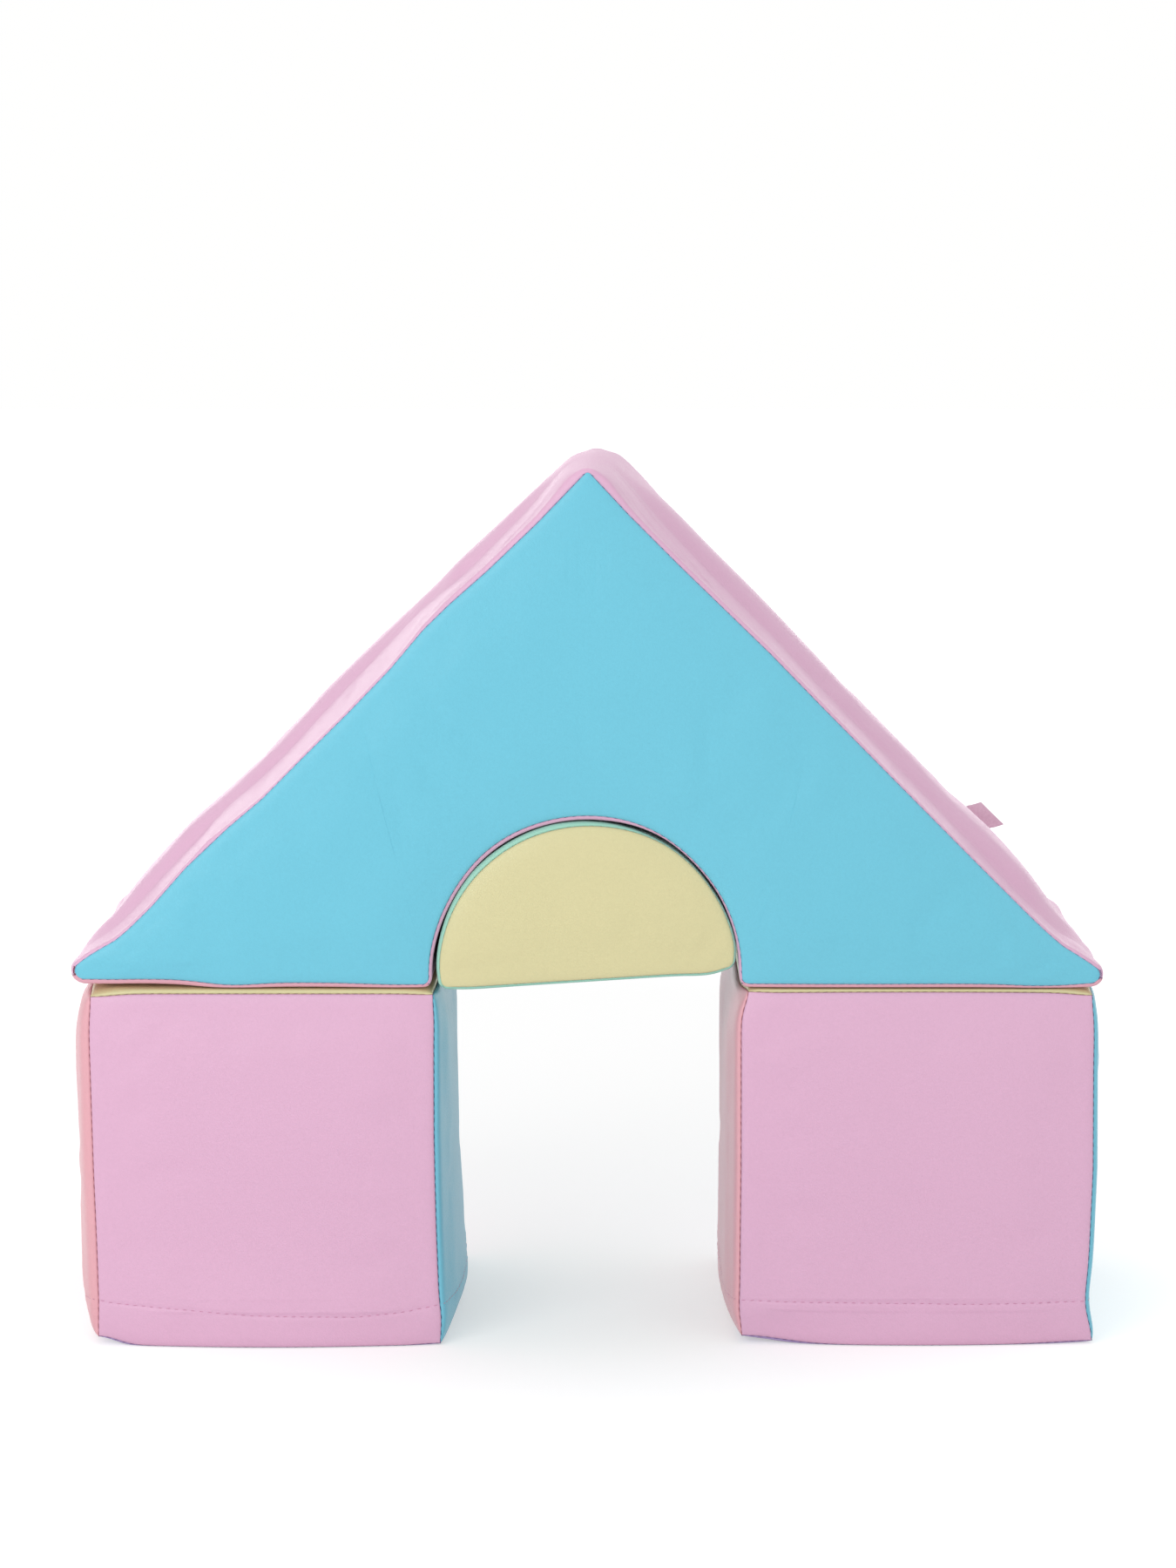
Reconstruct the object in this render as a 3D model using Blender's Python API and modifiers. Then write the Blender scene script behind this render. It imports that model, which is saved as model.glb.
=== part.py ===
"""Soft play house set: two foam cubes, an arched roof block and a half-round block in sewn covers.

Metres, +Z up, +X to the right, +Y into the depth. The origin is on the floor, midway between the
outer sides and between front and back. Each block is a foam core in a cover sewn from crowned
panels, which meet in mitres along their seams.
"""
import math

import bmesh
import bpy
from mathutils import Matrix, Vector

# Cover and foam
COVER_WALL = 0.0012           # coated fabric with its thin backing
SEAM_GAP = 0.0003             # clear gap between two panels across a seam's mitre
CORE_GAP = 0.0005             # clear gap between the cover and the foam
BLOCK_GAP = 0.0003            # clear gap between two blocks that rest on each other
BLOCK_DEPTH = 0.200           # seam to seam, the same for all four blocks

# Cubes, seam to seam
CUBE_WIDTH = 0.198
CUBE_HEIGHT = 0.203
DOORWAY_LEFT = 0.0850         # from the centre line to the left cube's inner seam
DOORWAY_RIGHT = 0.0875        # from the centre line to the right cube's inner seam
CUBE_FRONT_CROWN = 0.0050
CUBE_BACK_CROWN = 0.0035
CUBE_SIDE_CROWN = 0.0095
CUBE_TOP_CROWN = 0.0075
CUBE_TOP_FLAT = 0.0038        # height over the top seam at which the load flattens the crown
CUBE_BASE_CROWN = 0.0050
CUBE_BASE_FLAT = 0.0015       # height of the base seam over the flattened underside
CUBE_DRAW_IN = 0.0015         # how far a seam pulls in midway between its corners

# Roof block, seam to seam
ROOF_HALF_WIDTH = 0.297
ROOF_RISE = 0.291
ROOF_TIP_RADIUS = 0.0060
ROOF_RIDGE_RADIUS = 0.0040
ROOF_FRONT_CROWN = 0.0050
ROOF_BACK_CROWN = 0.0035
ROOF_SLOPE_CROWN = 0.0050
ROOF_RIDGE_CROWN = 0.0010
ROOF_BASE_CROWN = 0.0045
ROOF_BASE_FLAT = 0.0022       # height of the base seams over the flattened feet
ARCH_RADIUS = 0.0874
ARCH_FOOT = 0.0076            # straight stretch between each foot and the arc
ARCH_CROWN = 0.0007

# Half-round block, seam to seam
HALF_ROUND_CLEARANCE = 0.0022  # arch seam to half-round seam, at the side
HALF_ROUND_FOOT = 0.0025
HALF_ROUND_FRONT_CROWN = 0.0045
HALF_ROUND_BACK_CROWN = 0.0035
HALF_ROUND_CURVE_CROWN = 0.0011
HALF_ROUND_BASE_CROWN = 0.0028
HALF_ROUND_DROP = 0.0024      # how far its arc hangs below the arch's
HALF_ROUND_TILT = 3.7         # degrees, left end low, as it is wedged

# Zips, one in each back panel
ZIP_FROM_SEAM = 0.0210
ZIP_TAPE_WIDTH = 0.0140
ZIP_TAPE_CLEARANCE = 0.0003
ZIP_CHAIN_WIDTH = 0.0050
ZIP_CHAIN_HEIGHT = 0.0012
ZIP_TAPE_END = 0.0050         # tape beyond each end of the chain
CUBE_ZIP_LENGTH = 0.140
ROOF_ZIP_LENGTH = 0.250
HALF_ROUND_ZIP_LENGTH = 0.104
SLIDER_LENGTH = 0.0095
SLIDER_NOSE = 0.0050          # width at its closed end
SLIDER_WIDTH = 0.0076
SLIDER_HEIGHT = 0.0024
SLIDER_CLEARANCE = 0.0003
SLIDER_EDGE = 0.0006
LUG_LENGTH = 0.0050
LUG_WIDTH = 0.0022
LUG_HEIGHT = 0.0018
PULL_LENGTH = 0.0160
PULL_WIDTH = 0.0046
PULL_WALL = 0.0010
PULL_HOLE_RADIUS = 0.0013

# Folded loop label in the rear seam of the right slope
LABEL_WIDTH = 0.0200
LABEL_REACH = 0.0090
LABEL_FOLD_RADIUS = 0.0008
LABEL_WALL = 0.0004
LABEL_HEIGHT = 0.0629         # of its middle, above the roof's base seams
LABEL_INSET = 0.0012          # of its middle plane, forward of the rear seam
LABEL_CLEARANCE = 0.0004

# Rows and rings of the crowned panels
ROW_SHARES = (-1.0, -0.95, -0.80, -0.45, 0.0, 0.45, 0.80, 0.95, 1.0)
RING_INSETS = (0.0045, 0.0130, 0.0300)
CROWN_REACH = 0.0600          # distance from its seam at which a face has its whole crown
CROWN_POWER = 3.0
SLOPE_STEPS = 8
TIP_STEPS = 2
RIDGE_STEPS = 2
FOOT_STEPS = 5
ARCH_STEPS = 16
HALF_ROUND_STEPS = 16
HALF_ROUND_BASE_STEPS = 6
FOLD_STEPS = 6

FOOT_ANGLE = 0.01             # radians from a cut-off arc's corner to its next point
SHOULDER_LEAN = 0.4           # share of a depth by which a face's rings step in with it
CUTTER_DEPTH = 0.04
HOLE_SIDES = 12
SHARP_ANGLE = 40.0            # degrees
PROBE = 0.001                 # step by which an outline is moved to find its outward direction

# Worked out from the sizes above
HALF_DEPTH = BLOCK_DEPTH / 2.0
SEAM_MARGIN = SEAM_GAP / math.sqrt(2.0)
CORE_DEPTH = COVER_WALL + CORE_GAP
LEFT_CUBE_X = -(DOORWAY_LEFT + CUBE_WIDTH / 2.0)
RIGHT_CUBE_X = DOORWAY_RIGHT + CUBE_WIDTH / 2.0
CUBE_TOP = CUBE_BASE_FLAT + CUBE_HEIGHT + CUBE_TOP_FLAT
ROOF_BASE = CUBE_TOP + BLOCK_GAP + ROOF_BASE_FLAT
SLOPE_ANGLE = math.atan2(ROOF_RISE, ROOF_HALF_WIDTH)
HALF_ROUND_RADIUS = ARCH_RADIUS - HALF_ROUND_CLEARANCE
HALF_ROUND_Z = ROOF_BASE + ARCH_FOOT - HALF_ROUND_DROP

COLOURS = {
    "pink": (0.77, 0.46, 0.65),
    "coral": (0.83, 0.42, 0.44),
    "aqua": (0.21, 0.56, 0.70),
    "blue": (0.19, 0.60, 0.76),
    "yellow": (0.72, 0.66, 0.39),
    "lilac": (0.46, 0.37, 0.66),
    "mint": (0.40, 0.68, 0.60),
    "salmon": (0.82, 0.45, 0.55),
    "foam": (0.86, 0.84, 0.76),
    "zip_tape": (0.86, 0.86, 0.87),
    "slider_metal": (0.62, 0.63, 0.65),
    "ribbon": (0.88, 0.76, 0.80),
}


def clear_scene():
    for item in list(bpy.data.objects):
        bpy.data.objects.remove(item, do_unlink=True)


def new_collection(name):
    collection = bpy.data.collections.new(name)
    bpy.context.scene.collection.children.link(collection)
    return collection


def material(name, roughness=0.5, metallic=0.0):
    """A plain Principled material in one of the set's colours, made once."""
    found = bpy.data.materials.get(name)
    if found:
        return found
    made = bpy.data.materials.new(name)
    made.use_nodes = True
    shader = made.node_tree.nodes["Principled BSDF"]
    shader.inputs["Base Color"].default_value = (*COLOURS[name], 1.0)
    shader.inputs["Roughness"].default_value = roughness
    shader.inputs["Metallic"].default_value = metallic
    return made


def new_object(name, mesh, collection, finish=None, frame=None):
    made = bpy.data.objects.new(name, mesh)
    collection.objects.link(made)
    made.parent = frame
    if finish:
        mesh.materials.append(finish)
        mesh.shade_smooth()
        mesh.set_sharp_from_angle(angle=math.radians(SHARP_ANGLE))
    else:
        made.hide_render = True
        made.display_type = "WIRE"
    return made


def new_frame(name, collection, location, tilt=0.0):
    """An empty that carries one block or one slider, turned about the depth axis."""
    frame = bpy.data.objects.new(name, None)
    frame.location = location
    frame.rotation_euler = (0.0, math.radians(tilt), 0.0)
    collection.objects.link(frame)
    return frame


# Profiles: points are (x, z) pairs in a block's own frame, anticlockwise from the front

def crown_share(position):
    """Height of a padded crown, from 0 on the seams at -1 and 1 up to 1 in the middle."""
    return max(0.0, 1.0 - abs(position) ** CROWN_POWER) ** (1.0 / CROWN_POWER)


def face_share(inset):
    """Crown of a face panel at a distance inside its seam."""
    return crown_share(1.0 - min(inset / CROWN_REACH, 1.0))


def run_points(start, stop, shares):
    """Points between two ends, at shares that run from -1 to 1."""
    start, stop = Vector(start), Vector(stop)
    return [tuple(start.lerp(stop, (share + 1.0) / 2.0)) for share in shares]


def inner_points(start, stop, steps):
    """Evenly spaced points between two ends, without the ends."""
    return run_points(start, stop, [2.0 * step / steps - 1.0 for step in range(1, steps)])


def fillet_points(corner, before, after, radius, steps):
    """A fillet at a corner, from the direction that leads back to the one that leads on."""
    before, after, corner = Vector(before), Vector(after), Vector(corner)
    half_angle = before.angle(after) / 2.0
    centre = corner + (before + after).normalized() * (radius / math.sin(half_angle))
    start = corner + before * (radius / math.tan(half_angle)) - centre
    turn = math.pi - 2.0 * half_angle
    return [tuple(centre + Matrix.Rotation(turn * step / steps, 2) @ start) for step in range(steps + 1)]


def arc_on_feet(radius, foot, middle, steps):
    """Half width at the feet, and the arc above them from right to left.

    The foot is the straight stretch under the arc. Where an inset takes it all, the arc is cut short.
    """
    if foot > 0.0:
        width, low = radius, 0.0
    else:
        width = math.sqrt(radius * radius - foot * foot)
        low = math.asin(-foot / radius) + FOOT_ANGLE
    angles = [low + (math.pi - 2.0 * low) * step / steps for step in range(steps + 1)]
    return width, [(radius * math.cos(angle), middle + radius * math.sin(angle)) for angle in angles]


def cube_outline(inset):
    """The cube's square, its upright sides drawn in midway, from the bottom left corner."""
    low = Vector((inset - CUBE_WIDTH / 2.0, CUBE_BASE_FLAT + inset))
    high = Vector((-low.x, CUBE_BASE_FLAT + CUBE_HEIGHT - inset))
    corners = [(low.x, low.y), (high.x, low.y), (high.x, high.y), (low.x, high.y)]
    points = []
    for side, inward in enumerate((0.0, -1.0, 0.0, 1.0)):
        run = run_points(corners[side], corners[(side + 1) % 4], ROW_SHARES)[:-1]
        for (x, z), share in zip(run, ROW_SHARES):
            points.append((x + inward * CUBE_DRAW_IN * (1.0 - share * share), z))
    return points


def roof_outline(inset):
    """The arched triangle, from the left corner of the arch through its right one, the tip and the ridge."""
    down = Vector((math.cos(SLOPE_ANGLE), -math.sin(SLOPE_ANGLE)))
    tip = (ROOF_HALF_WIDTH - inset / math.tan(SLOPE_ANGLE / 2.0), inset)
    ridge = (0.0, ROOF_RISE - inset / math.cos(SLOPE_ANGLE))
    foot_x, arch = arc_on_feet(ARCH_RADIUS + inset, ARCH_FOOT - inset, ARCH_FOOT, ARCH_STEPS)
    right_tip = fillet_points(tip, (-1.0, 0.0), -down, ROOF_TIP_RADIUS, TIP_STEPS)
    top = fillet_points(ridge, down, (-down.x, down.y), ROOF_RIDGE_RADIUS, RIDGE_STEPS)
    left_tip = [(-x, z) for x, z in reversed(right_tip)]
    left_foot, right_foot = (-foot_x, inset), (foot_x, inset)
    points = [left_foot] + arch[::-1] + [right_foot]
    points += inner_points(right_foot, right_tip[0], FOOT_STEPS) + right_tip
    points += inner_points(right_tip[-1], top[0], SLOPE_STEPS) + top
    points += inner_points(top[-1], left_tip[0], SLOPE_STEPS) + left_tip
    points += inner_points(left_tip[-1], left_foot, FOOT_STEPS)
    return points


def half_round_outline(inset):
    """The half round about the middle of its arc, from the left end of its flat base."""
    foot = HALF_ROUND_FOOT - inset
    half_width, arc = arc_on_feet(HALF_ROUND_RADIUS - inset, foot, 0.0, HALF_ROUND_STEPS)
    left, right = (-half_width, -foot), (half_width, -foot)
    return [left] + inner_points(left, right, HALF_ROUND_BASE_STEPS) + [right] + arc


# Meshes: lofts between unlike sections, closed by hand and turned outwards

def solid_mesh(name, points, faces):
    mesh = bpy.data.meshes.new(name)
    mesh.from_pydata(points, [], faces)
    work = bmesh.new()
    work.from_mesh(mesh)
    bmesh.ops.recalc_face_normals(work, faces=work.faces)
    work.to_mesh(mesh)
    work.free()
    return mesh


def band_faces(first, second, count):
    """Quads between two closed rings, given the index of each ring's first point."""
    faces = []
    for step in range(count):
        after = (step + 1) % count
        faces.append((first + step, first + after, second + after, second + step))
    return faces


def ring_solid(name, rings):
    """A solid lofted through closed rings of equal count, capped at both ends."""
    count = len(rings[0])
    points = [point for ring in rings for point in ring]
    faces = [tuple(range(count)), tuple(range(len(points) - count, len(points)))]
    for index in range(len(rings) - 1):
        faces += band_faces(index * count, (index + 1) * count, count)
    return solid_mesh(name, points, faces)


def patch_solid(name, outer, inner):
    """A wall between two grids of rows, closed along its four edges."""
    rows, columns = len(outer), len(outer[0])
    points = [point for row in outer + inner for point in row]
    below = rows * columns
    faces = []
    for row in range(rows - 1):
        for column in range(columns - 1):
            corner = row * columns + column
            quad = (corner, corner + 1, corner + columns + 1, corner + columns)
            faces.append(quad)
            faces.append(tuple(index + below for index in quad))
    edge = list(range(columns))
    edge += [row * columns + columns - 1 for row in range(1, rows)]
    edge += [(rows - 1) * columns + column for column in range(columns - 2, -1, -1)]
    edge += [row * columns for row in range(rows - 2, 0, -1)]
    for index, start in enumerate(edge):
        stop = edge[(index + 1) % len(edge)]
        faces.append((start, stop, stop + below, start + below))
    return solid_mesh(name, points, faces)


class Block:
    """One block's shape: an outline, the seams along it and the crown of each strip and face.

    A depth is measured inwards from the cover's outer surface: 0 on it, more inside it.
    """

    def __init__(self, outline, seams, strips, front_crown, back_crown, draw_in=0.0, low=None, high=None):
        self.outline = outline
        self.seams = seams            # outline positions at which a strip begins
        self.strips = strips          # one crown for each strip, as a function of the place along it
        self.front_crown = front_crown
        self.back_crown = back_crown
        self.draw_in = draw_in
        self.low = low                # flattened underside
        self.high = high              # flattened top

    def flatten(self, z, depth):
        if self.low is not None:
            z = max(z, self.low + depth)
        if self.high is not None:
            z = min(z, self.high - depth)
        return z

    def face_rings(self, side, depth, margin=0.0):
        """Rings of a face from its seam inwards; side is -1 at the front and 1 at the back."""
        crown = self.front_crown if side < 0 else self.back_crown
        rings = [[(x, side * (HALF_DEPTH - depth), z) for x, z in self.outline(depth + margin)]]
        for inset in RING_INSETS:
            y = side * (HALF_DEPTH + crown * face_share(inset) - depth)
            rings.append([(x, y, z) for x, z in self.outline(inset + SHOULDER_LEAN * depth)])
        return rings

    def back_height(self, inset):
        """How far the faceted back face stands behind the seams at a distance inside them."""
        below = max(ring for ring in RING_INSETS if ring <= inset)
        above = min(ring for ring in RING_INSETS if ring >= inset)
        mix = (inset - below) / (above - below) if above > below else 0.0
        share = face_share(below) * (1.0 - mix) + face_share(above) * mix
        return HALF_DEPTH + self.back_crown * share

    def strip_span(self, index):
        """Outline positions of a strip, both of its seams included."""
        start = self.seams[index]
        stop = self.seams[(index + 1) % len(self.seams)]
        count = len(self.outline(0.0))
        if stop <= start:
            stop += count
        return [position % count for position in range(start, stop + 1)]

    def strip_row(self, index, share, depth, margin=0.0):
        """Points of a strip across the outline, at a share of the half depth from -1 to 1."""
        pull = self.draw_in * (1.0 - share * share)
        line = [Vector(point) for point in self.outline(depth + pull)]
        outside = [Vector(point) for point in self.outline(depth + pull - PROBE)]
        span = self.strip_span(index)
        lengths = [(line[b] - line[a]).length for a, b in zip(span, span[1:])]
        y = share * (HALF_DEPTH if abs(share) < 1.0 else HALF_DEPTH - depth - margin)
        row = []
        for place, position in enumerate(span):
            point = line[position]
            if place == 0:
                point = point + (line[span[1]] - point).normalized() * margin
            elif place == len(span) - 1:
                point = point + (line[span[-2]] - point).normalized() * margin
            else:
                along = 2.0 * sum(lengths[:place]) / sum(lengths) - 1.0
                height = self.strips[index](along) * crown_share(share)
                point = point + (outside[position] - point) / PROBE * height
            row.append((point.x, y, self.flatten(point.y, depth)))
        return row

    def face_mesh(self, name, side, outer=0.0, inner=COVER_WALL):
        """A face panel: its outer rings, then its inner ones from the middle back to the seam."""
        rings = self.face_rings(side, outer, SEAM_MARGIN)[::-1]
        rings += self.face_rings(side, inner, SEAM_MARGIN)
        return ring_solid(name, rings)

    def strip_mesh(self, name, index):
        outer = [self.strip_row(index, share, 0.0, SEAM_MARGIN) for share in ROW_SHARES]
        inner = [self.strip_row(index, share, COVER_WALL, SEAM_MARGIN) for share in ROW_SHARES]
        return patch_solid(name, outer, inner)

    def core_mesh(self, name):
        """The foam, one clearance inside the cover."""
        rings = self.face_rings(-1, CORE_DEPTH)[::-1]
        for share in ROW_SHARES[1:-1]:
            rows = [self.strip_row(index, share, CORE_DEPTH)[:-1] for index in range(len(self.seams))]
            ring = [point for row in rows for point in row]
            shift = self.seams[0]
            rings.append(ring[len(ring) - shift:] + ring[:len(ring) - shift])
        rings += self.face_rings(1, CORE_DEPTH)
        return ring_solid(name, rings)


def plain_crown(height):
    return lambda along: height * crown_share(along)


def ridged_crown(slope_height, ridge_height):
    """A crown on each side of a ridge in the middle of a strip."""
    return lambda along: max(slope_height * crown_share(2.0 * abs(along) - 1.0), ridge_height)


def box_mesh(name, size, place=None):
    """A box from the cube primitive, scaled in the mesh and moved by a matrix."""
    mesh = bpy.data.meshes.new(name)
    work = bmesh.new()
    bmesh.ops.create_cube(work, size=1.0)
    bmesh.ops.scale(work, vec=size, verts=work.verts)
    if place is not None:
        bmesh.ops.transform(work, matrix=place, verts=work.verts)
    work.to_mesh(mesh)
    work.free()
    return mesh


def boolean(target, operand, operation):
    cut = target.modifiers.new(operation.title(), "BOOLEAN")
    cut.operation = operation
    cut.solver = "EXACT"
    cut.object = operand


def bevel(target, width, segments=2):
    edge = target.modifiers.new("Bevel", "BEVEL")
    edge.width = width
    edge.segments = segments
    edge.limit_method = "ANGLE"
    edge.angle_limit = math.radians(SHARP_ANGLE)


# Zips

def zip_place(spot, angle):
    """A zip's own axes on a back panel: X along it, Y outwards. The spot is an (x, z) pair."""
    return Matrix.Translation((spot[0], 0.0, spot[1])) @ Matrix.Rotation(math.radians(angle), 4, "Y")


def slide_length(length):
    """How far the slider runs from the closed end to the open one."""
    return length - 2.0 * ZIP_TAPE_END - SLIDER_LENGTH


def add_zip(prefix, block, panel, spot, angle, length, parts, cutters):
    """Cut the back panel open and fill the slot with a tape, its chain and a slider."""
    frame = panel.parent
    place = zip_place(spot, angle) @ Matrix.Translation((0.0, HALF_DEPTH, 0.0))
    slot_size = (length + 2.0 * ZIP_TAPE_CLEARANCE, CUTTER_DEPTH, ZIP_TAPE_WIDTH + 2.0 * ZIP_TAPE_CLEARANCE)
    slot = new_object(f"{prefix}_slot_cutter", box_mesh("slot", slot_size, place), cutters, None, frame)
    boolean(panel, slot, "DIFFERENCE")

    tape_box = box_mesh("tape", (length, CUTTER_DEPTH, ZIP_TAPE_WIDTH), place)
    tape_cutter = new_object(f"{prefix}_tape_cutter", tape_box, cutters, None, frame)
    tape = new_object(f"{prefix}_zip", block.face_mesh("zip", 1), parts, material("zip_tape", 0.6), frame)
    boolean(tape, tape_cutter, "INTERSECT")

    chain_box = box_mesh("chain", (length - 2.0 * ZIP_TAPE_END, CUTTER_DEPTH, ZIP_CHAIN_WIDTH), place)
    chain_cutter = new_object(f"{prefix}_chain_cutter", chain_box, cutters, None, frame)
    chain_mesh = block.face_mesh("chain", 1, -ZIP_CHAIN_HEIGHT, COVER_WALL / 2.0)
    chain = new_object(f"{prefix}_chain_form", chain_mesh, cutters, None, frame)
    boolean(chain, chain_cutter, "INTERSECT")
    boolean(tape, chain, "UNION")
    add_slider(prefix, block, frame, spot, angle, length, parts, cutters)


def add_slider(prefix, block, frame, spot, angle, length, parts, cutters):
    """The slider at the closed end: a tapered body, a lug and a pull that hangs straight down."""
    surface = block.back_height(ZIP_FROM_SEAM) + ZIP_CHAIN_HEIGHT + SLIDER_CLEARANCE
    rest = zip_place(spot, angle) @ Vector((slide_length(length) / 2.0, surface, 0.0))
    axis = new_frame(f"{prefix}_slider_axis", parts, rest, angle)
    axis.parent = frame

    body = box_mesh("slider", (SLIDER_LENGTH, SLIDER_HEIGHT, SLIDER_WIDTH),
                    Matrix.Translation((0.0, SLIDER_HEIGHT / 2.0, 0.0)))
    for vertex in body.vertices:
        if vertex.co.x > 0.0:
            vertex.co.z *= SLIDER_NOSE / SLIDER_WIDTH
    slider = new_object(f"{prefix}_zip_slider", body, parts, material("slider_metal", 0.35, 1.0), axis)
    bevel(slider, SLIDER_EDGE)

    lug_middle = Matrix.Translation((0.0, SLIDER_HEIGHT + LUG_HEIGHT / 2.0 - SLIDER_EDGE, 0.0))
    lug_mesh = box_mesh("lug", (LUG_LENGTH, LUG_HEIGHT, LUG_WIDTH), lug_middle)
    lug = new_object(f"{prefix}_lug_form", lug_mesh, cutters, None, axis)
    bevel(lug, SLIDER_EDGE / 2.0, 1)
    boolean(slider, lug, "UNION")

    hang = Matrix.Rotation(-math.radians(angle), 4, "Y")
    pull_y = SLIDER_HEIGHT + PULL_WALL / 2.0 + SLIDER_EDGE / 4.0
    drop = Matrix.Translation((0.0, pull_y, PULL_WIDTH / 2.0 - PULL_LENGTH / 2.0))
    pull_mesh = box_mesh("pull", (PULL_WIDTH, PULL_WALL, PULL_LENGTH), hang @ drop)
    pull = new_object(f"{prefix}_pull_form", pull_mesh, cutters, None, axis)
    bevel(pull, PULL_WALL / 3.0, 1)
    hole_spot = Matrix.Translation((0.0, pull_y, PULL_WIDTH - PULL_LENGTH))
    hole_mesh = bpy.data.meshes.new("hole")
    work = bmesh.new()
    bmesh.ops.create_cone(work, cap_ends=True, segments=HOLE_SIDES, radius1=PULL_HOLE_RADIUS,
                          radius2=PULL_HOLE_RADIUS, depth=CUTTER_DEPTH,
                          matrix=hang @ hole_spot @ Matrix.Rotation(math.pi / 2.0, 4, "X"))
    work.to_mesh(hole_mesh)
    work.free()
    hole = new_object(f"{prefix}_pull_hole_cutter", hole_mesh, cutters, None, axis)
    boolean(pull, hole, "DIFFERENCE")
    boolean(slider, pull, "UNION")


# Blocks

def middle_of_depth(block):
    """Where the middle of the seams stands, so that the pulls behind and the crown in front balance."""
    front = HALF_DEPTH + max(CUBE_FRONT_CROWN, ROOF_FRONT_CROWN) * face_share(RING_INSETS[-1])
    slider = SLIDER_CLEARANCE + SLIDER_HEIGHT + max(LUG_HEIGHT - SLIDER_EDGE, SLIDER_EDGE / 4.0 + PULL_WALL)
    back = block.back_height(ZIP_FROM_SEAM) + ZIP_CHAIN_HEIGHT + slider
    return (front - back) / 2.0


def cube_block():
    side = plain_crown(CUBE_SIDE_CROWN)
    strips = [plain_crown(CUBE_BASE_CROWN), side, plain_crown(CUBE_TOP_CROWN), side]
    step = len(ROW_SHARES) - 1
    return Block(cube_outline, [0, step, 2 * step, 3 * step], strips, CUBE_FRONT_CROWN, CUBE_BACK_CROWN,
                 CUBE_DRAW_IN, 0.0, CUBE_TOP)


def roof_block():
    right_foot = ARCH_STEPS + 2
    right_tip = right_foot + FOOT_STEPS + TIP_STEPS // 2
    left_tip = right_tip + TIP_STEPS + 2 * SLOPE_STEPS + RIDGE_STEPS
    base = plain_crown(ROOF_BASE_CROWN)
    gusset = ridged_crown(ROOF_SLOPE_CROWN, ROOF_RIDGE_CROWN)
    strips = [plain_crown(ARCH_CROWN), base, gusset, base]
    return Block(roof_outline, [0, right_foot, right_tip, left_tip], strips, ROOF_FRONT_CROWN,
                 ROOF_BACK_CROWN, low=-ROOF_BASE_FLAT)


def half_round_block():
    strips = [plain_crown(HALF_ROUND_BASE_CROWN), plain_crown(HALF_ROUND_CURVE_CROWN)]
    return Block(half_round_outline, [0, HALF_ROUND_BASE_STEPS], strips, HALF_ROUND_FRONT_CROWN,
                 HALF_ROUND_BACK_CROWN)


def add_cover(prefix, block, frame, parts, front, back, strips):
    """The foam core and every cover panel of a block; returns the back panel."""
    new_object(f"{prefix}_foam_core", block.core_mesh("core"), parts, material("foam", 0.9), frame)
    new_object(f"{prefix}_front_panel", block.face_mesh("front", -1), parts, material(front), frame)
    for index, (name, colour) in enumerate(strips):
        new_object(f"{prefix}_{name}", block.strip_mesh(name, index), parts, material(colour), frame)
    return new_object(f"{prefix}_back_panel", block.face_mesh("back", 1), parts, material(back), frame)


def build_cube(prefix, middle_x, parts, cutters):
    block = cube_block()
    frame = new_frame(f"{prefix}_frame", parts, (middle_x, middle_of_depth(block), 0.0))
    strips = [("base_panel", "lilac"), ("right_side_panel", "aqua"),
              ("top_panel", "yellow"), ("left_side_panel", "coral")]
    back = add_cover(prefix, block, frame, parts, "pink", "pink", strips)
    spot = (0.0, CUBE_BASE_FLAT + ZIP_FROM_SEAM)
    add_zip(prefix, block, back, spot, 0.0, CUBE_ZIP_LENGTH, parts, cutters)


def build_roof(parts, cutters):
    block = roof_block()
    frame = new_frame("roof_frame", parts, (0.0, middle_of_depth(block), ROOF_BASE))
    strips = [("arch_lining", "pink"), ("right_base_strip", "salmon"),
              ("slope_gusset", "pink"), ("left_base_strip", "salmon")]
    back = add_cover("roof", block, frame, parts, "blue", "blue", strips)
    spot = (ZIP_FROM_SEAM * math.sin(SLOPE_ANGLE) - ROOF_HALF_WIDTH / 2.0,
            ROOF_RISE / 2.0 - ZIP_FROM_SEAM * math.cos(SLOPE_ANGLE))
    add_zip("roof", block, back, spot, -math.degrees(SLOPE_ANGLE), ROOF_ZIP_LENGTH, parts, cutters)
    add_label(block, frame, parts)


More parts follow.
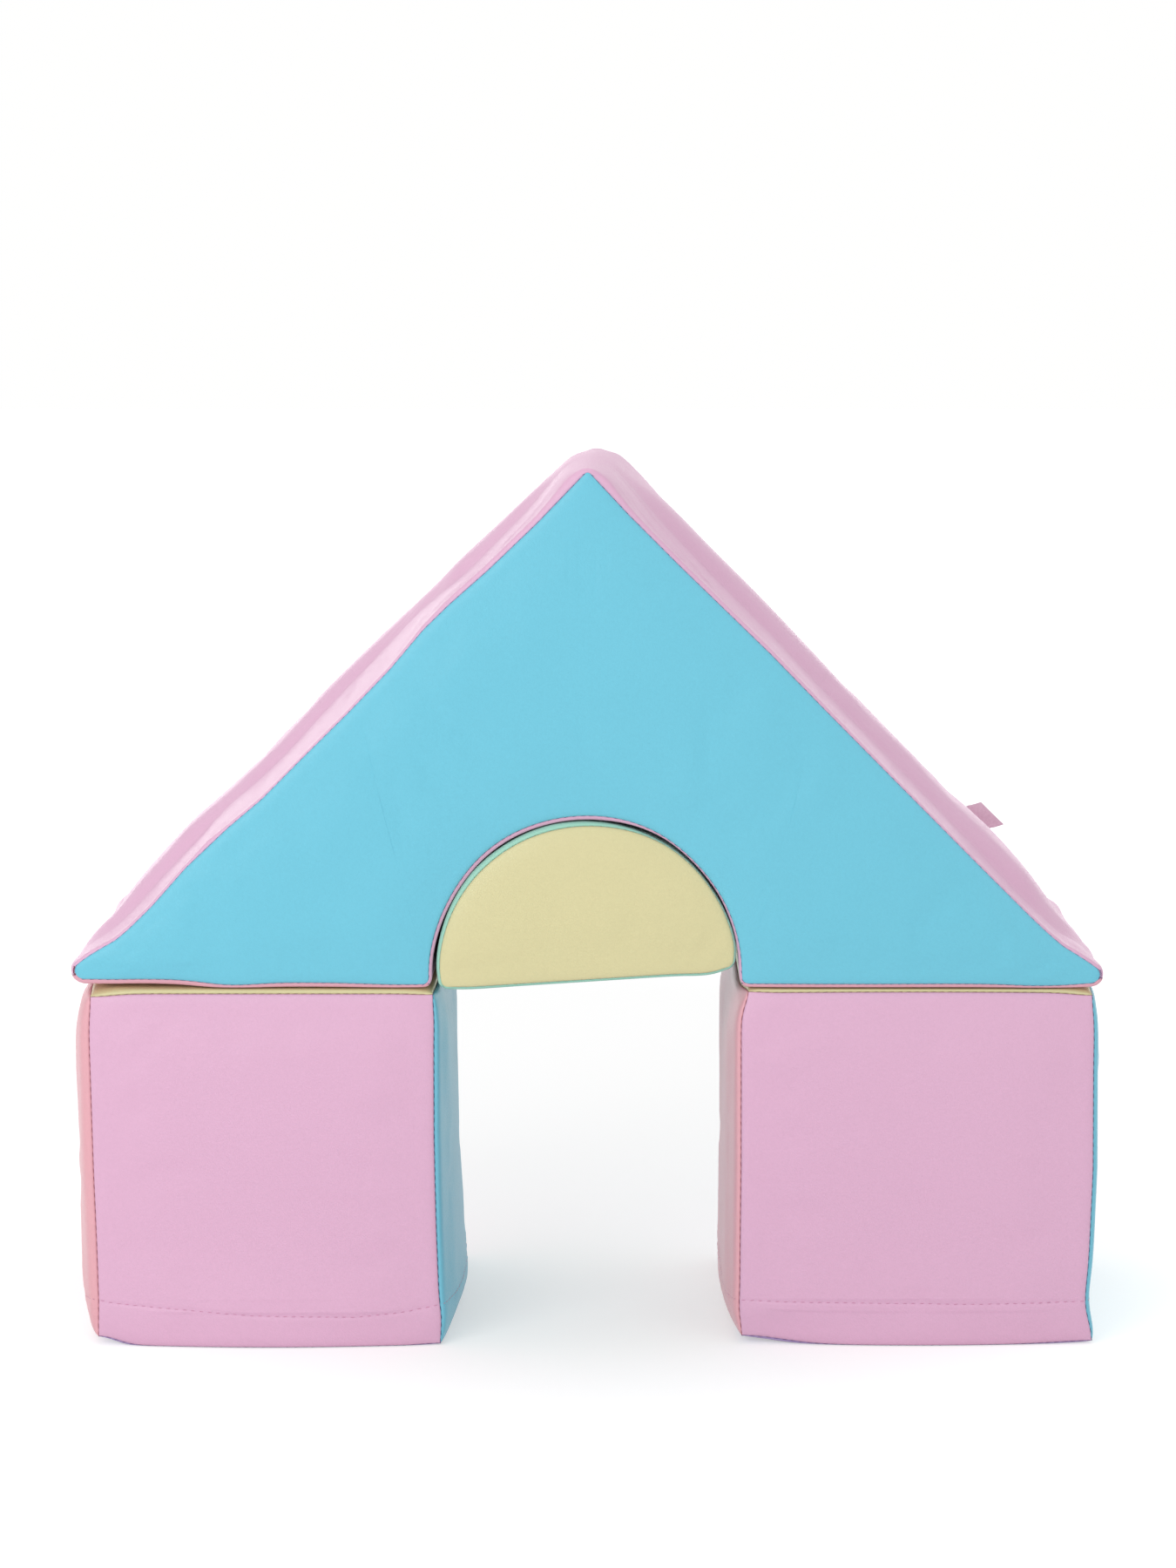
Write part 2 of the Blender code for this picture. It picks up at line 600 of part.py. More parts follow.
def add_label(block, frame, parts):
    """A ribbon folded to a loop, standing out of the rear seam of the right slope."""
    gusset_rise = block.strips[2](0.5) * crown_share(ROW_SHARES[-2])
    ply_inset = LABEL_INSET + LABEL_FOLD_RADIUS + LABEL_WALL
    foot = gusset_rise * ply_inset / ((1.0 - ROW_SHARES[-2]) * HALF_DEPTH) + LABEL_CLEARANCE
    fold_z = LABEL_REACH - LABEL_FOLD_RADIUS
    profile = [(-LABEL_FOLD_RADIUS, foot)]
    for step in range(FOLD_STEPS + 1):
        angle = math.pi * (1.0 - step / FOLD_STEPS)
        profile.append((LABEL_FOLD_RADIUS * math.cos(angle), fold_z + LABEL_FOLD_RADIUS * math.sin(angle)))
    profile.append((LABEL_FOLD_RADIUS, foot))
    points = [(side * LABEL_WIDTH / 2.0, y, z) for side in (-1, 1) for y, z in profile]
    count = len(profile)
    faces = [(step, step + 1, count + step + 1, count + step) for step in range(count - 1)]
    mesh = bpy.data.meshes.new("label")
    mesh.from_pydata(points, [], faces)
    spot = (ROOF_HALF_WIDTH * (1.0 - LABEL_HEIGHT / ROOF_RISE), HALF_DEPTH - LABEL_INSET, LABEL_HEIGHT)
    mesh.transform(Matrix.Translation(spot) @ Matrix.Rotation(SLOPE_ANGLE, 4, "Y"))
    label = new_object("roof_loop_label", mesh, parts, material("ribbon", 0.7), frame)
    wall = label.modifiers.new("Wall", "SOLIDIFY")
    wall.thickness = LABEL_WALL
    wall.offset = 0.0
    wall.use_even_offset = True


def build_half_round(parts, cutters):
    block = half_round_block()
    middle = (0.0, middle_of_depth(block), HALF_ROUND_Z)
    frame = new_frame("half_round_frame", parts, middle, -HALF_ROUND_TILT)
    strips = [("base_strip", "mint"), ("curved_strip", "mint")]
    back = add_cover("half_round", block, frame, parts, "yellow", "yellow", strips)
    spot = (0.0, ZIP_FROM_SEAM - HALF_ROUND_FOOT)
    add_zip("half_round", block, back, spot, 0.0, HALF_ROUND_ZIP_LENGTH, parts, cutters)


def main():
    clear_scene()
    parts = new_collection("soft_play_house_set")
    cutters = new_collection("cutters")
    build_cube("left_cube", LEFT_CUBE_X, parts, cutters)
    build_cube("right_cube", RIGHT_CUBE_X, parts, cutters)
    build_roof(parts, cutters)
    build_half_round(parts, cutters)


main()
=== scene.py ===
import functools
import math

import bmesh
import bpy
import numpy as np
from mathutils import Matrix, Vector
from mathutils.bvhtree import BVHTree
from mathutils.kdtree import KDTree


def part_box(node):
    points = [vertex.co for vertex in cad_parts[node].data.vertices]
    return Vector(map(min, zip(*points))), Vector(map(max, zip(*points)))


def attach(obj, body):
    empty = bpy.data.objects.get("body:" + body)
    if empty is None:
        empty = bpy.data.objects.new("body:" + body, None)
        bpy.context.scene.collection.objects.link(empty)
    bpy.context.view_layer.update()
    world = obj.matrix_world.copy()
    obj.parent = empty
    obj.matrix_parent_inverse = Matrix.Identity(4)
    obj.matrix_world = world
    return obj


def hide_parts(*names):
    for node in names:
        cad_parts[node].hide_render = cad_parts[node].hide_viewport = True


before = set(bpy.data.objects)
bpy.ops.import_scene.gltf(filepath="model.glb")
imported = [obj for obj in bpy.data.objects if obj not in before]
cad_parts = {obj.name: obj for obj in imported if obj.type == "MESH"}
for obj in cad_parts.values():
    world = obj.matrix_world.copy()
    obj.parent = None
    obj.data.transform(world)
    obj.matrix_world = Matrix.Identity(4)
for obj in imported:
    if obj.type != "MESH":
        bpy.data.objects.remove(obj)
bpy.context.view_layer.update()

scene = bpy.context.scene
depthLow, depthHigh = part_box("left_cube_left_side_panel")
middleY = (depthLow.y + depthHigh.y) / 2

# sizes that all four blocks share, in metres
cover = {
    "halfDepth": 0.1,
    "seamReach": 0.050,       # how far inside a seam the padding has filled out
    "roundness": 3.0,
    "lipReach": 0.0022,
    "step": 0.0042,           # quads away from the seams
    "simStep": 0.0068,
    "wall": 0.0009,
    "seamDip": 0.0013, "dipReach": 0.007,
    "fullness": 0.0002,       # of a curved strip over its lips
    "roll": [0.00005, 0.0002, 0.00055, 0.0012, 0.0021, 0.0034, 0.0051, 0.0073, 0.0101], "rollLength": 0.05,
    "hemRows": (0.014, 0.032, 0.0008), "hemRowGap": 0.003, "hemTurn": 0.03,
    "press": 0.0004, "weld": 0.000004, "sliver": 0.000001,
    "raised": 0.1,            # a block that bears higher than this stands on others
}
cover["frontSeam"], cover["backSeam"] = middleY - cover["halfDepth"], middleY + cover["halfDepth"]


# profiles: (x, z) points in a block's own frame, anticlockwise seen from the front

def crownShare(distance, reach):
    left = np.clip(1 - np.asarray(distance) / reach, 0, 1)
    return (1 - left ** cover["roundness"]) ** (1 / cover["roundness"])


def arcRun(radius, start, stop, middle=0.0, count=160):
    angles = np.radians(np.linspace(start, stop, count))
    return np.stack([radius * np.cos(angles), middle + radius * np.sin(angles)], 1)


def filletRun(corner, before, after, radius, count=14):
    corner, before, after = Vector(corner), Vector(before).normalized(), Vector(after).normalized()
    half = before.angle(after) / 2
    centre = corner + (before + after).normalized() * radius / math.sin(half)
    first = corner + before * radius / math.tan(half) - centre
    turn = math.pi - 2 * half
    if before.cross(after) > 0:
        turn = -turn
    return np.array([tuple(centre + Matrix.Rotation(turn * i / count, 2) @ first) for i in range(count + 1)])


def mirrored(run):
    return run[::-1] * np.array([-1, 1])


def runPlaces(run):
    return np.concatenate([[0], np.cumsum(np.linalg.norm(np.diff(run, axis=0), axis=1))])


def along(run, shares):
    places = runPlaces(run)
    at = np.asarray(shares) * places[-1]
    return np.stack([np.interp(at, places, run[:, i]) for i in range(2)], 1)


def splitRun(run, share):
    places = runPlaces(run)
    cut, point = share * places[-1], along(run, [share])
    return np.concatenate([run[places < cut], point]), np.concatenate([point, run[places > cut]])


def chained(runs, shares):
    # several runs in a row, each at its own shares, with the joints kept once
    return np.concatenate([along(run, share)[min(i, 1):] for i, (run, share) in enumerate(zip(runs, shares))])


def seamShares(length, fine, ends=(True, True), step=None):
    # shares from 0 to 1, closer together where the cover rolls into a seam
    step = (step or cover["step"]) if fine else cover["simStep"]
    roll = [0.0] + [place * min(1.0, length / cover["rollLength"]) for place in (cover["roll"] if fine else [])]
    start, stop = (roll if ends[0] else [0.0]), (roll if ends[1] else [0.0])
    inner = length - start[-1] - stop[-1]
    count = max(2, round(inner / step))
    places = start + [start[-1] + inner * i / count for i in range(1, count)] + [length - e for e in stop[::-1]]
    return np.array(places) / length


def distanceTo(run, points):
    best = np.full(len(points), 1e9)
    for start, way in zip(run[:-1], np.diff(run, axis=0)):
        size = way @ way
        if size > 1e-14:
            share = np.clip((points - start) @ way / size, 0, 1)
            best = np.minimum(best, np.linalg.norm(points - start - share[:, None] * way, axis=1))
    return best


waveValues = {"count": 8, "lengths": (0.7, 1.6), "turn": 6.28}


def waves(points, seed, length):
    # a smooth random field about 1 high, with waves of about that length
    rng = np.random.default_rng(seed)
    total = np.zeros(points.shape[:-1])
    for _ in range(waveValues["count"]):
        way = rng.normal(size=3)
        way *= 2 * math.pi / (length * rng.uniform(*waveValues["lengths"])) / np.linalg.norm(way)
        total += np.sin(points @ way + rng.uniform(0, waveValues["turn"]))
    return total / math.sqrt(waveValues["count"])


# a block's cover as grids of points, whose columns crossed with rows point outwards

def gridNormals(grid):
    normals = np.cross(np.gradient(grid, axis=1), np.gradient(grid, axis=0))
    return normals / (np.linalg.norm(normals, axis=2)[..., None] + 1e-15)


def stripGrid(strip, fine):
    half = cover["halfDepth"]
    shares = [span(fine) for span in strip["spans"]]
    line = chained(strip["runs"], shares)
    soft = chained(strip.get("softRuns", strip["runs"]), shares)
    places = runPlaces(line)
    reach = min(strip.get("endReach", cover["seamReach"]), places[-1] / 2)
    endFill = crownShare(np.minimum(places, places[-1] - places), reach)
    rows = []
    for share in seamShares(2 * half, fine, step=strip.get("rowStep"))[::-1]:
        inward = 2 * half * min(share, 1 - share)
        fill = float(crownShare(inward, cover["seamReach"]))
        place = line + (soft - line) * fill
        way = np.gradient(place, axis=0)
        way /= np.linalg.norm(way, axis=1)[:, None] + 1e-15
        y = 2 * half * share - half
        lip = strip["lip"](place)                      # the strip rolls out over its seam before it runs back
        roll = math.sqrt(1 - (1 - min(inward / cover["lipReach"], 1)) ** 2)
        rise = lip * roll + (strip["crown"](place, y) - lip) * fill * endFill
        place = place + np.stack([way[:, 1], -way[:, 0]], 1) * rise[:, None]
        rows.append(np.stack([place[:, 0], np.full(len(place), y), place[:, 1]], 1))
    return np.array(rows)


def faceGrid(shape, side, fine):
    shares = [span(fine) for span in shape["columns"]]
    bottom, top = chained(shape["bottom"], shares), chained(shape["top"], shares)
    rows = shape["rows"](fine) if "rows" in shape else seamShares(shape["height"], fine)
    flat = bottom + (top - bottom) * rows[:, None, None]
    points = flat.reshape(-1, 2)
    fill = np.ones(len(points))
    for run in shape["seams"]:
        fill = fill * crownShare(distanceTo(run, points), cover["seamReach"])
    y = side * (cover["halfDepth"] + shape["crown"]["front" if side < 0 else "back"] * fill)
    return np.stack([points[:, 0], y, points[:, 1]], 1).reshape(*flat.shape[:2], 3)


def softFloor(z, low, bend):
    return low + bend * np.logaddexp(0, (z - low) / bend)


def edgeDraw(points, edge):
    # how a seam between two corners is drawn in or out, in mm by the share of its length
    first, last = np.array(edge["first"]), np.array(edge["last"])
    way = (last - first) / np.linalg.norm(last - first)
    off = points[:, [0, 2]] - first
    share = np.clip(off @ way / np.linalg.norm(last - first), 0, 1)
    away = np.linalg.norm(off - share[:, None] * (last - first), axis=1)
    back = (points[:, 1] - edge["y"]) / edge["depth"]
    shares, sizes = np.array(edge["draw"]).T
    size = np.interp(share, shares, sizes) * 0.001 * np.exp(-(away / edge["reach"]) ** 2 - back ** 2)
    return size[:, None] * np.array(edge["way"])


def restLevel(level, y):
    # the plane that two pressed blocks share, which dips where their seams hang over it
    edge = np.minimum(np.abs(y - cover["frontSeam"]), np.abs(y - cover["backSeam"]))
    return level - cover["seamDip"] * np.exp(-(edge / cover["dipReach"]) ** 2)


def pressed(shape, points, bend):
    # flattens a block where it bears on the floor or on another block
    x, y, z = np.moveaxis(points, -1, 0)
    if "low" in shape:
        low = restLevel(shape["low"], y) if shape["low"] > cover["raised"] else shape["low"]
        z = softFloor(z, low, bend)
    if "high" in shape:
        z = -softFloor(-z, -restLevel(shape["high"], y), bend)
    return np.stack([x, y, z], -1)


def placed(shape, points):
    # from the block's own frame to its place, then pulled by its seams and pressed by the load
    flat = points.reshape(-1, 3)
    tilt = math.radians(shape.get("tilt", 0))
    x = shape["place"][0] + flat[:, 0] * math.cos(tilt) - flat[:, 2] * math.sin(tilt)
    z = shape["place"][1] + flat[:, 0] * math.sin(tilt) + flat[:, 2] * math.cos(tilt)
    start = np.stack([x, flat[:, 1] + middleY, z], 1)
    moved = start.copy()
    for edge in shape["edges"]:
        moved += edgeDraw(start, edge)
    for pull in shape["pulls"]:
        spot, shift, reach = np.array(pull) / 1000
        away = np.linalg.norm((start - spot) / reach, axis=1)
        moved += np.exp(-away ** 2)[:, None] * shift
    return pressed(shape, moved, cover["press"]).reshape(points.shape)


def blockGrids(shape, fine):
    grids = {name: placed(shape, stripGrid(strip, fine)) for name, strip in shape["strips"].items()}
    grids["front"] = placed(shape, faceGrid(shape, -1, fine))
    grids["back"] = placed(shape, faceGrid(shape, 1, fine))[:, ::-1]
    return grids


def gridQuads(rows, columns, start=0):
    index = np.arange(rows * columns).reshape(rows, columns) + start
    return np.stack([index[:-1, :-1], index[:-1, 1:], index[1:, 1:], index[1:, :-1]], -1).reshape(-1, 4)


def gridMesh(name, grids):
    points, quads, count = [], [], 0
    for grid in grids:
        quads.append(gridQuads(*grid.shape[:2], count))
        points.append(grid.reshape(-1, 3))
        count += len(points[-1])
    mesh = bpy.data.meshes.new(name)
    mesh.from_pydata(np.concatenate(points).tolist(), [], np.concatenate(quads).tolist())
    work = bmesh.new()
    work.from_mesh(mesh)
    bmesh.ops.remove_doubles(work, verts=work.verts, dist=cover["weld"])
    bmesh.ops.dissolve_degenerate(work, dist=cover["sliver"], edges=work.edges)
    work.to_mesh(mesh)
    work.free()
    mesh.shade_smooth()
    return mesh


def newObject(name, mesh):
    made = bpy.data.objects.new(name, mesh)
    scene.collection.objects.link(made)
    return made


def vertexValues(vertices, key):
    found = np.zeros(len(vertices) * 3)
    vertices.foreach_get(key, found)
    return found.reshape(-1, 3)


def weaveMap(mesh, spot, forward, across):
    # a UV map for the weaves, whose unit is a millimetre
    layer = mesh.uv_layers.new(name="weave")
    for loop in mesh.loops:
        offset = np.array(mesh.vertices[loop.vertex_index].co) - spot
        layer.data[loop.index].uv = (float(offset @ forward) * 1000, float(offset @ across) * 1000)


def thicken(made, wall, offset):
    layer = made.modifiers.new("Wall", "SOLIDIFY")
    layer.thickness, layer.offset = wall, offset


def dress(made, material, core, node):
    # a piece's material, the block that it goes with and the CAD solid that it stands for
    made.data.materials.append(material)
    made.parent = core
    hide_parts(node)


# the four blocks

def plain(height):
    return lambda place, y=0: np.full(len(place), height)


def lipTable(table, more=0.0):
    places, sizes = np.array(table).T
    return lambda place, y=0: np.interp(place[:, 0], places, sizes) * 0.001 + more


def newStrip(runs, spans, crown, lip, **more):
    return {"runs": runs, "spans": spans, "crown": crown, "lip": lip, **more}


def cubeShape(values):
    half, low, high = values["width"] / 2, values["baseSeam"], values["baseSeam"] + values["height"]
    corners = np.array([(-half, low), (half, low), (half, high), (-half, high)])
    wide = lambda fine: seamShares(values["width"], fine)

    def tall(fine):
        shares = seamShares(values["height"], fine)
        if not fine:
            return shares
        hem, gap = np.arange(*cover["hemRows"]) / values["height"], cover["hemRowGap"]      # close together at the hem
        return np.concatenate([shares[shares < hem[0] - gap], hem, shares[shares > hem[-1] + gap]])
    runs = [corners[[i, (i + 1) % 4]] for i in range(4)]
    spans = (wide, tall, wide, lambda fine: 1 - tall(fine)[::-1])
    strips = {name: newStrip([run], [span], plain(values["crown"][name]), plain(0))
              for name, run, span in zip(("base", "rightSide", "top", "leftSide"), runs, spans)}
    return {**values, "strips": strips, "columns": [wide], "bottom": [runs[0]], "top": [runs[2][::-1]],
            "rows": tall, "seams": runs}


def roofShape(values):
    angle = math.atan2(values["rise"], values["halfWidth"])
    down = np.array([math.cos(angle), -math.sin(angle)])
    tip = filletRun((values["halfWidth"], 0), (-1, 0), -down, values["tipRadius"])
    foot = filletRun((values["archRadius"], 0), (0, 1), (1, 0), values["footRadius"])
    base = np.concatenate([foot[7:], tip[:8]])          # panels meet at the middle of a fillet's 14 steps
    arch = np.concatenate([foot[7::-1], arcRun(values["archRadius"], 0, 90, values["archFoot"])])
    flip = np.array([-1, 1])

    def slopeRuns(radius):
        ridge = filletRun((0, values["rise"]), down, down * flip, radius, 60)
        lower, upper = splitRun(np.concatenate([tip[7:], ridge[:31]]), values["split"])
        return [lower, upper, mirrored(upper), mirrored(lower)]

    whole = lambda fine: seamShares(runPlaces(base)[-1], fine, step=values["step"])

    def fromFoot(fine):
        shares = seamShares(runPlaces(arch)[-1], fine, (True, False), values["step"])
        if not fine:
            return shares
        last, first, count = values["ridgeRows"]
        return np.concatenate([shares[shares < last], np.linspace(first, 1, count)])
    toFoot = lambda fine: 1 - fromFoot(fine)[::-1]
    spans, arches = [whole, fromFoot, toFoot, whole], [arch * flip, arch[::-1]]
    slopes = slopeRuns(values["ridgeRadius"])
    baseCrown, lip, archLip = plain(values["crown"]["base"]), plain(values["lip"]), values["archLip"]
    strips = {
        "arch": newStrip(arches, [fromFoot, toFoot], lipTable(archLip, cover["fullness"]), lipTable(archLip)),
        "rightBase": newStrip([base], [whole], baseCrown, lip),
        "leftBase": newStrip([mirrored(base)], [whole], baseCrown, lip),
        "slope": newStrip(slopes, spans, slopeCrown, slopeLip, softRuns=slopeRuns(values["softRidgeRadius"]),
                          rowStep=values["rowStep"], endReach=values["tipReach"]),
    }
    lower, upper = slopes[:2]
    line = np.concatenate(slopes)
    return {**values, "strips": strips, "columns": spans, "bottom": [mirrored(base), *arches, base],
            "top": [lower * flip, upper * flip, upper[::-1], lower[::-1]],
            "seams": [base, base * flip, np.concatenate(arches), line[line[:, 0] >= -1e-9], line[line[:, 0] <= 1e-9]]}


def halfRoundShape(values):
    radius, foot = values["radius"], values["foot"]
    corner = filletRun((radius, -foot), (-1, 0), (0, 1), values["cornerRadius"])
    base = np.concatenate([mirrored(corner[:8]), corner[:8]])
    side = corner[7:]
    bend = arcRun(radius, 0, 180)
    curve = np.concatenate([side, bend[bend[:, 1] > side[-1, 1]], mirrored(side)])
    span = lambda fine: seamShares(runPlaces(curve)[-1], fine)
    curveLip = values["curveLip"]
    strips = {"base": newStrip([base], [span], plain(values["crown"]["base"]), plain(values["lip"])),
              "curve": newStrip([curve], [span], lipTable(curveLip, cover["fullness"]), lipTable(curveLip))}
    return {**values, "strips": strips, "columns": [span], "bottom": [base], "top": [curve[::-1]],
            "seams": [base, curve]}


def slopeCrown(place, y):
    # the gusset's two padded bands with a long fold between them, its creases and its rounder ridge
    run, left = np.abs(place[:, 0]) / roof["halfWidth"], place[:, 0] < 0
    around = run + np.linspace(-slopeFold["bend"], slopeFold["bend"], 7)[:, None]     # the bands bend softly along it
    whole = 2 * cover["halfDepth"]
    depth = (y + cover["halfDepth"]) / whole
    rise = np.zeros(len(place))
    for side, mask in (("left", left), ("right", ~left)):
        fold = slopeFold[side]
        share, *levels = np.array(fold["bands"]).T
        foldDepth, foldRise, farRise = (np.interp(around, share, level).mean(axis=0) for level in levels)
        lip = np.interp(run, *np.array(fold["lip"]).T)
        near = lip + (foldRise - lip) * np.clip(depth / foldDepth, 0, 1)
        past = np.clip(depth - foldDepth, 0, None) * whole
        ramp = past / fold["width"]
        height = near + (farRise - foldRise) * ramp / (1 + ramp ** 4) ** 0.25
        fall = fold["fall"] * 1000 * np.clip(past - fold["width"], 0, None)           # behind its crest
        height = np.maximum(height - fall, lip)
        for (firstRun, firstDepth), (lastRun, lastDepth), size, width in fold["creases"]:
            share = np.clip((run - firstRun) / (lastRun - firstRun), 0, 1)
            off = (depth - firstDepth - (lastDepth - firstDepth) * share) * whole
            past = np.maximum(0, np.maximum(firstRun - run, run - lastRun))
            height = height + size * np.exp(-np.abs(off / width) ** 1.3) * np.exp(-(past / slopeFold["fade"]) ** 2)
        rise = np.where(mask, height * 0.001, rise)
    ridge = np.exp(-(place[:, 0] / (slopeFold["ridgeWidth"] + slopeFold["ridgeSpread"] * depth)) ** 2)
    return rise * (1 - ridge) + slopeFold["ridgeRise"] * ridge


def slopeLip(place):
    run = np.abs(place[:, 0]) / roof["halfWidth"]
    sides = [np.interp(run, *np.array(slopeFold[side]["lip"]).T) * 0.001 for side in ("left", "right")]
    return np.where(place[:, 0] < 0, *sides)


# bands: share of the slope from ridge to tip, depth of the fold, and the rise at it and behind it in mm
slopeFold = {
    "left": {
        "bands": [(0, 0.40, 3.5, 8.8), (0.08, 0.40, 3.2, 9.5), (0.167, 0.40, 3.0, 9.6), (0.236, 0.34, 2.8, 10.6),
                  (0.276, 0.42, 3.8, 9.8), (0.327, 0.46, 4.6, 9.8), (0.39, 0.48, 3.8, 10.3), (0.50, 0.48, 2.5, 10.5),
                  (0.586, 0.40, 1.5, 9.4), (0.645, 0.40, 1.6, 9.0), (0.705, 0.42, 2.8, 9.4), (0.763, 0.34, 1.9, 11.8),
                  (0.80, 0.30, 2.6, 11.4), (0.86, 0.22, 2.8, 11.2), (0.90, 0.16, 2.7, 9.0), (0.945, 0.10, 2.5, 4.8),
                  (1, 0.10, 2.2, 2.2)],
        "lip": [(0, 2.9), (0.13, 3.4), (0.25, 3.0), (0.34, 1.6), (0.6, 1.2), (0.69, 1.6), (0.725, 2.8), (0.76, 1.6),
                (0.9, 1.5), (1, 2.0)],
        "width": 0.016, "fall": 0.060,
        "creases": [((0.02, 0.16), (0.30, 0.05), 0.4, 0.0022)],
    },
    "right": {
        "bands": [(0, 0.35, 5.0, 9.8), (0.08, 0.35, 5.2, 13.2), (0.23, 0.35, 3.3, 13.5), (0.36, 0.35, 3.0, 12.9),
                  (0.45, 0.32, 1.8, 11.6), (0.6, 0.30, 1.5, 10.6), (0.7, 0.25, 1.4, 10.6), (0.786, 0.20, 1.4, 12.6),
                  (0.847, 0.16, 1.4, 11.8), (0.90, 0.15, 1.5, 7.4), (0.955, 0.15, 1.7, 3.6), (1, 0.20, 2.0, 3.0)],
        "lip": [(0, 2.6), (0.15, 2.8), (0.35, 2.2), (0.6, 1.4), (0.85, 1.3), (1, 2.0)],
        "width": 0.020, "fall": 0.060,
        "creases": [((0.03, 0.34), (0.27, 0.06), 1.0, 0.0026), ((0.02, 0.17), (0.22, 0.045), 0.8, 0.0022)],
    },
    "ridgeRise": 0.0083, "ridgeWidth": 0.020, "ridgeSpread": 0.014,
    "bend": 0.022, "fade": 0.03,                      # how softly the bands turn and the creases end, as shares
}


def sideEdges(values, left, right, back=0.6):
    # the four upright seams of a cube, the rear ones drawn a little less
    low, high = values["baseSeam"], values["baseSeam"] + values["height"]
    edges = []
    for x, draw in ((-1, left), (1, right)):
        at = values["place"][0] + x * values["width"] / 2
        for y, share in ((cover["frontSeam"], 1), (cover["backSeam"], back)):
            edges.append({"first": (at, low), "last": (at, high), "y": y, "reach": 0.030, "depth": 0.055,
                          "way": (1, 0, 0), "draw": [(place, size * share) for place, size in draw]})
    return edges


def slopeEdge(side, seam, depth, draw):
    # one of the four seams up the slopes, from the ridge to a tip
    return {"first": (0, 0.5018), "last": (side * 0.297, 0.2108), "y": cover[seam], "reach": 0.034, "depth": depth,
            "way": (-side * 0.70, 0, -0.714), "draw": draw}


# pulls: a place, how far the cover is drawn there and how far that reaches, in mm
leftCube = {
    "prefix": "left_cube", "name": "leftCube", "seed": 11,
    "width": 0.198, "height": 0.2037, "baseSeam": 0.0004, "place": (-0.184, 0.0),
    "low": 0.0001, "high": 0.2082,
    "crown": {"front": 0.0048, "back": 0.0034, "base": 0.005, "top": 0.0072, "leftSide": 0.0112, "rightSide": 0.0066},
    "pulls": [
        ((-282, -101.7, 1), (0, 1, 4.8), (15, 40, 16)),      # lifted front corner
        ((-86, -101.7, 1), (-0.4, 0.6, 0.8), (14, 30, 14)),
        ((-184, -101.7, 1), (0, -10, 0), (105, 30, 34)),      # front rolls out at the floor
        ((-282, -101.7, 204.5), (1.6, 1, -1.8), (16, 20, 14)),
        ((-86, -101.7, 204.5), (-1.2, 1, -0.6), (14, 20, 12)),
        ((-282, 98.3, 1), (1, -1.8, 3.4), (30, 34, 16)),
        ((-86, 98.3, 1), (-1.4, -1.4, 2.6), (30, 30, 16)),
        ((-75, 0, 40), (3.4, 0, 0), (30, 85, 40)),      # the padding sinks low in the sides
        ((-293, 0, 60), (-0.6, 0, 0), (30, 75, 45)),
        ((-75, 0, 180), (-1.4, 0, 0), (30, 90, 45)),
        ((-75, 0, 14), (6.2, 0, 0), (30, 85, 14)),
    ],
    "hem": [(-0.281, 0.0265), (-0.270, 0.0248), (-0.233, 0.0225), (-0.191, 0.0190), (-0.133, 0.0180),
            (-0.105, 0.0205), (-0.087, 0.0240)],
    "hemLevel": 0.0225,
}
leftCube["edges"] = sideEdges(
    leftCube, [(0, 2.4), (0.12, 2.8), (0.3, 1.9), (0.5, 0.7), (0.75, -0.2), (0.92, -0.8), (1, -1.4)],
    [(0, -0.2), (0.12, -1.4), (0.3, -2.3), (0.6, -2.9), (0.85, -2.5), (1, -1.8)])

rightCube = {
    **leftCube, "prefix": "right_cube", "name": "rightCube", "seed": 23, "place": (0.1865, 0.0),
    "crown": {"front": 0.0048, "back": 0.0034, "base": 0.005, "top": 0.0072, "leftSide": 0.0070, "rightSide": 0.0058},
    "pulls": [
        ((88.5, -101.7, 1), (0.8, 1.8, 4.4), (32, 40, 16)),
        ((286, -101.7, 1), (1.6, 0.4, 1.8), (30, 30, 14)),
        ((188, -101.7, 1), (0, -5.6, 0), (85, 30, 34)),
        ((88.5, -101.7, 204.5), (4, 1, 0.4), (12, 20, 10)),
        ((286, -101.7, 204.5), (-1.4, 1, -1.6), (16, 20, 14)),
        ((88.5, 98.3, 1), (1.2, -1.6, 3), (30, 34, 16)),
        ((286, 98.3, 1), (-1.2, -1.4, 2.6), (30, 30, 16)),
        ((79, 0, 58), (-0.6, 0, 0), (30, 75, 42)),
        ((79, 0, 14), (-4.4, 0, 0), (30, 75, 14)),
        ((186.5, -101.7, 204.1), (0, 0, 1.1), (130, 16, 16)),
        ((290, -70, 27), (-2.2, 0, 0), (20, 60, 16)),      # pinch above the foot of the side
    ],
    "hem": [(0.0875, 0.0262), (0.150, 0.0258), (0.220, 0.0250), (0.288, 0.0256)],
    "hemLevel": 0.0235,
}
rightCube["edges"] = sideEdges(
    rightCube, [(0, 0.4), (0.12, -0.3), (0.5, 0.1), (1, -0.3)],
    [(0, 2.0), (0.1, 1.1), (0.25, 1.4), (0.5, 2.9), (0.8, 2.2), (1, 2.4)])

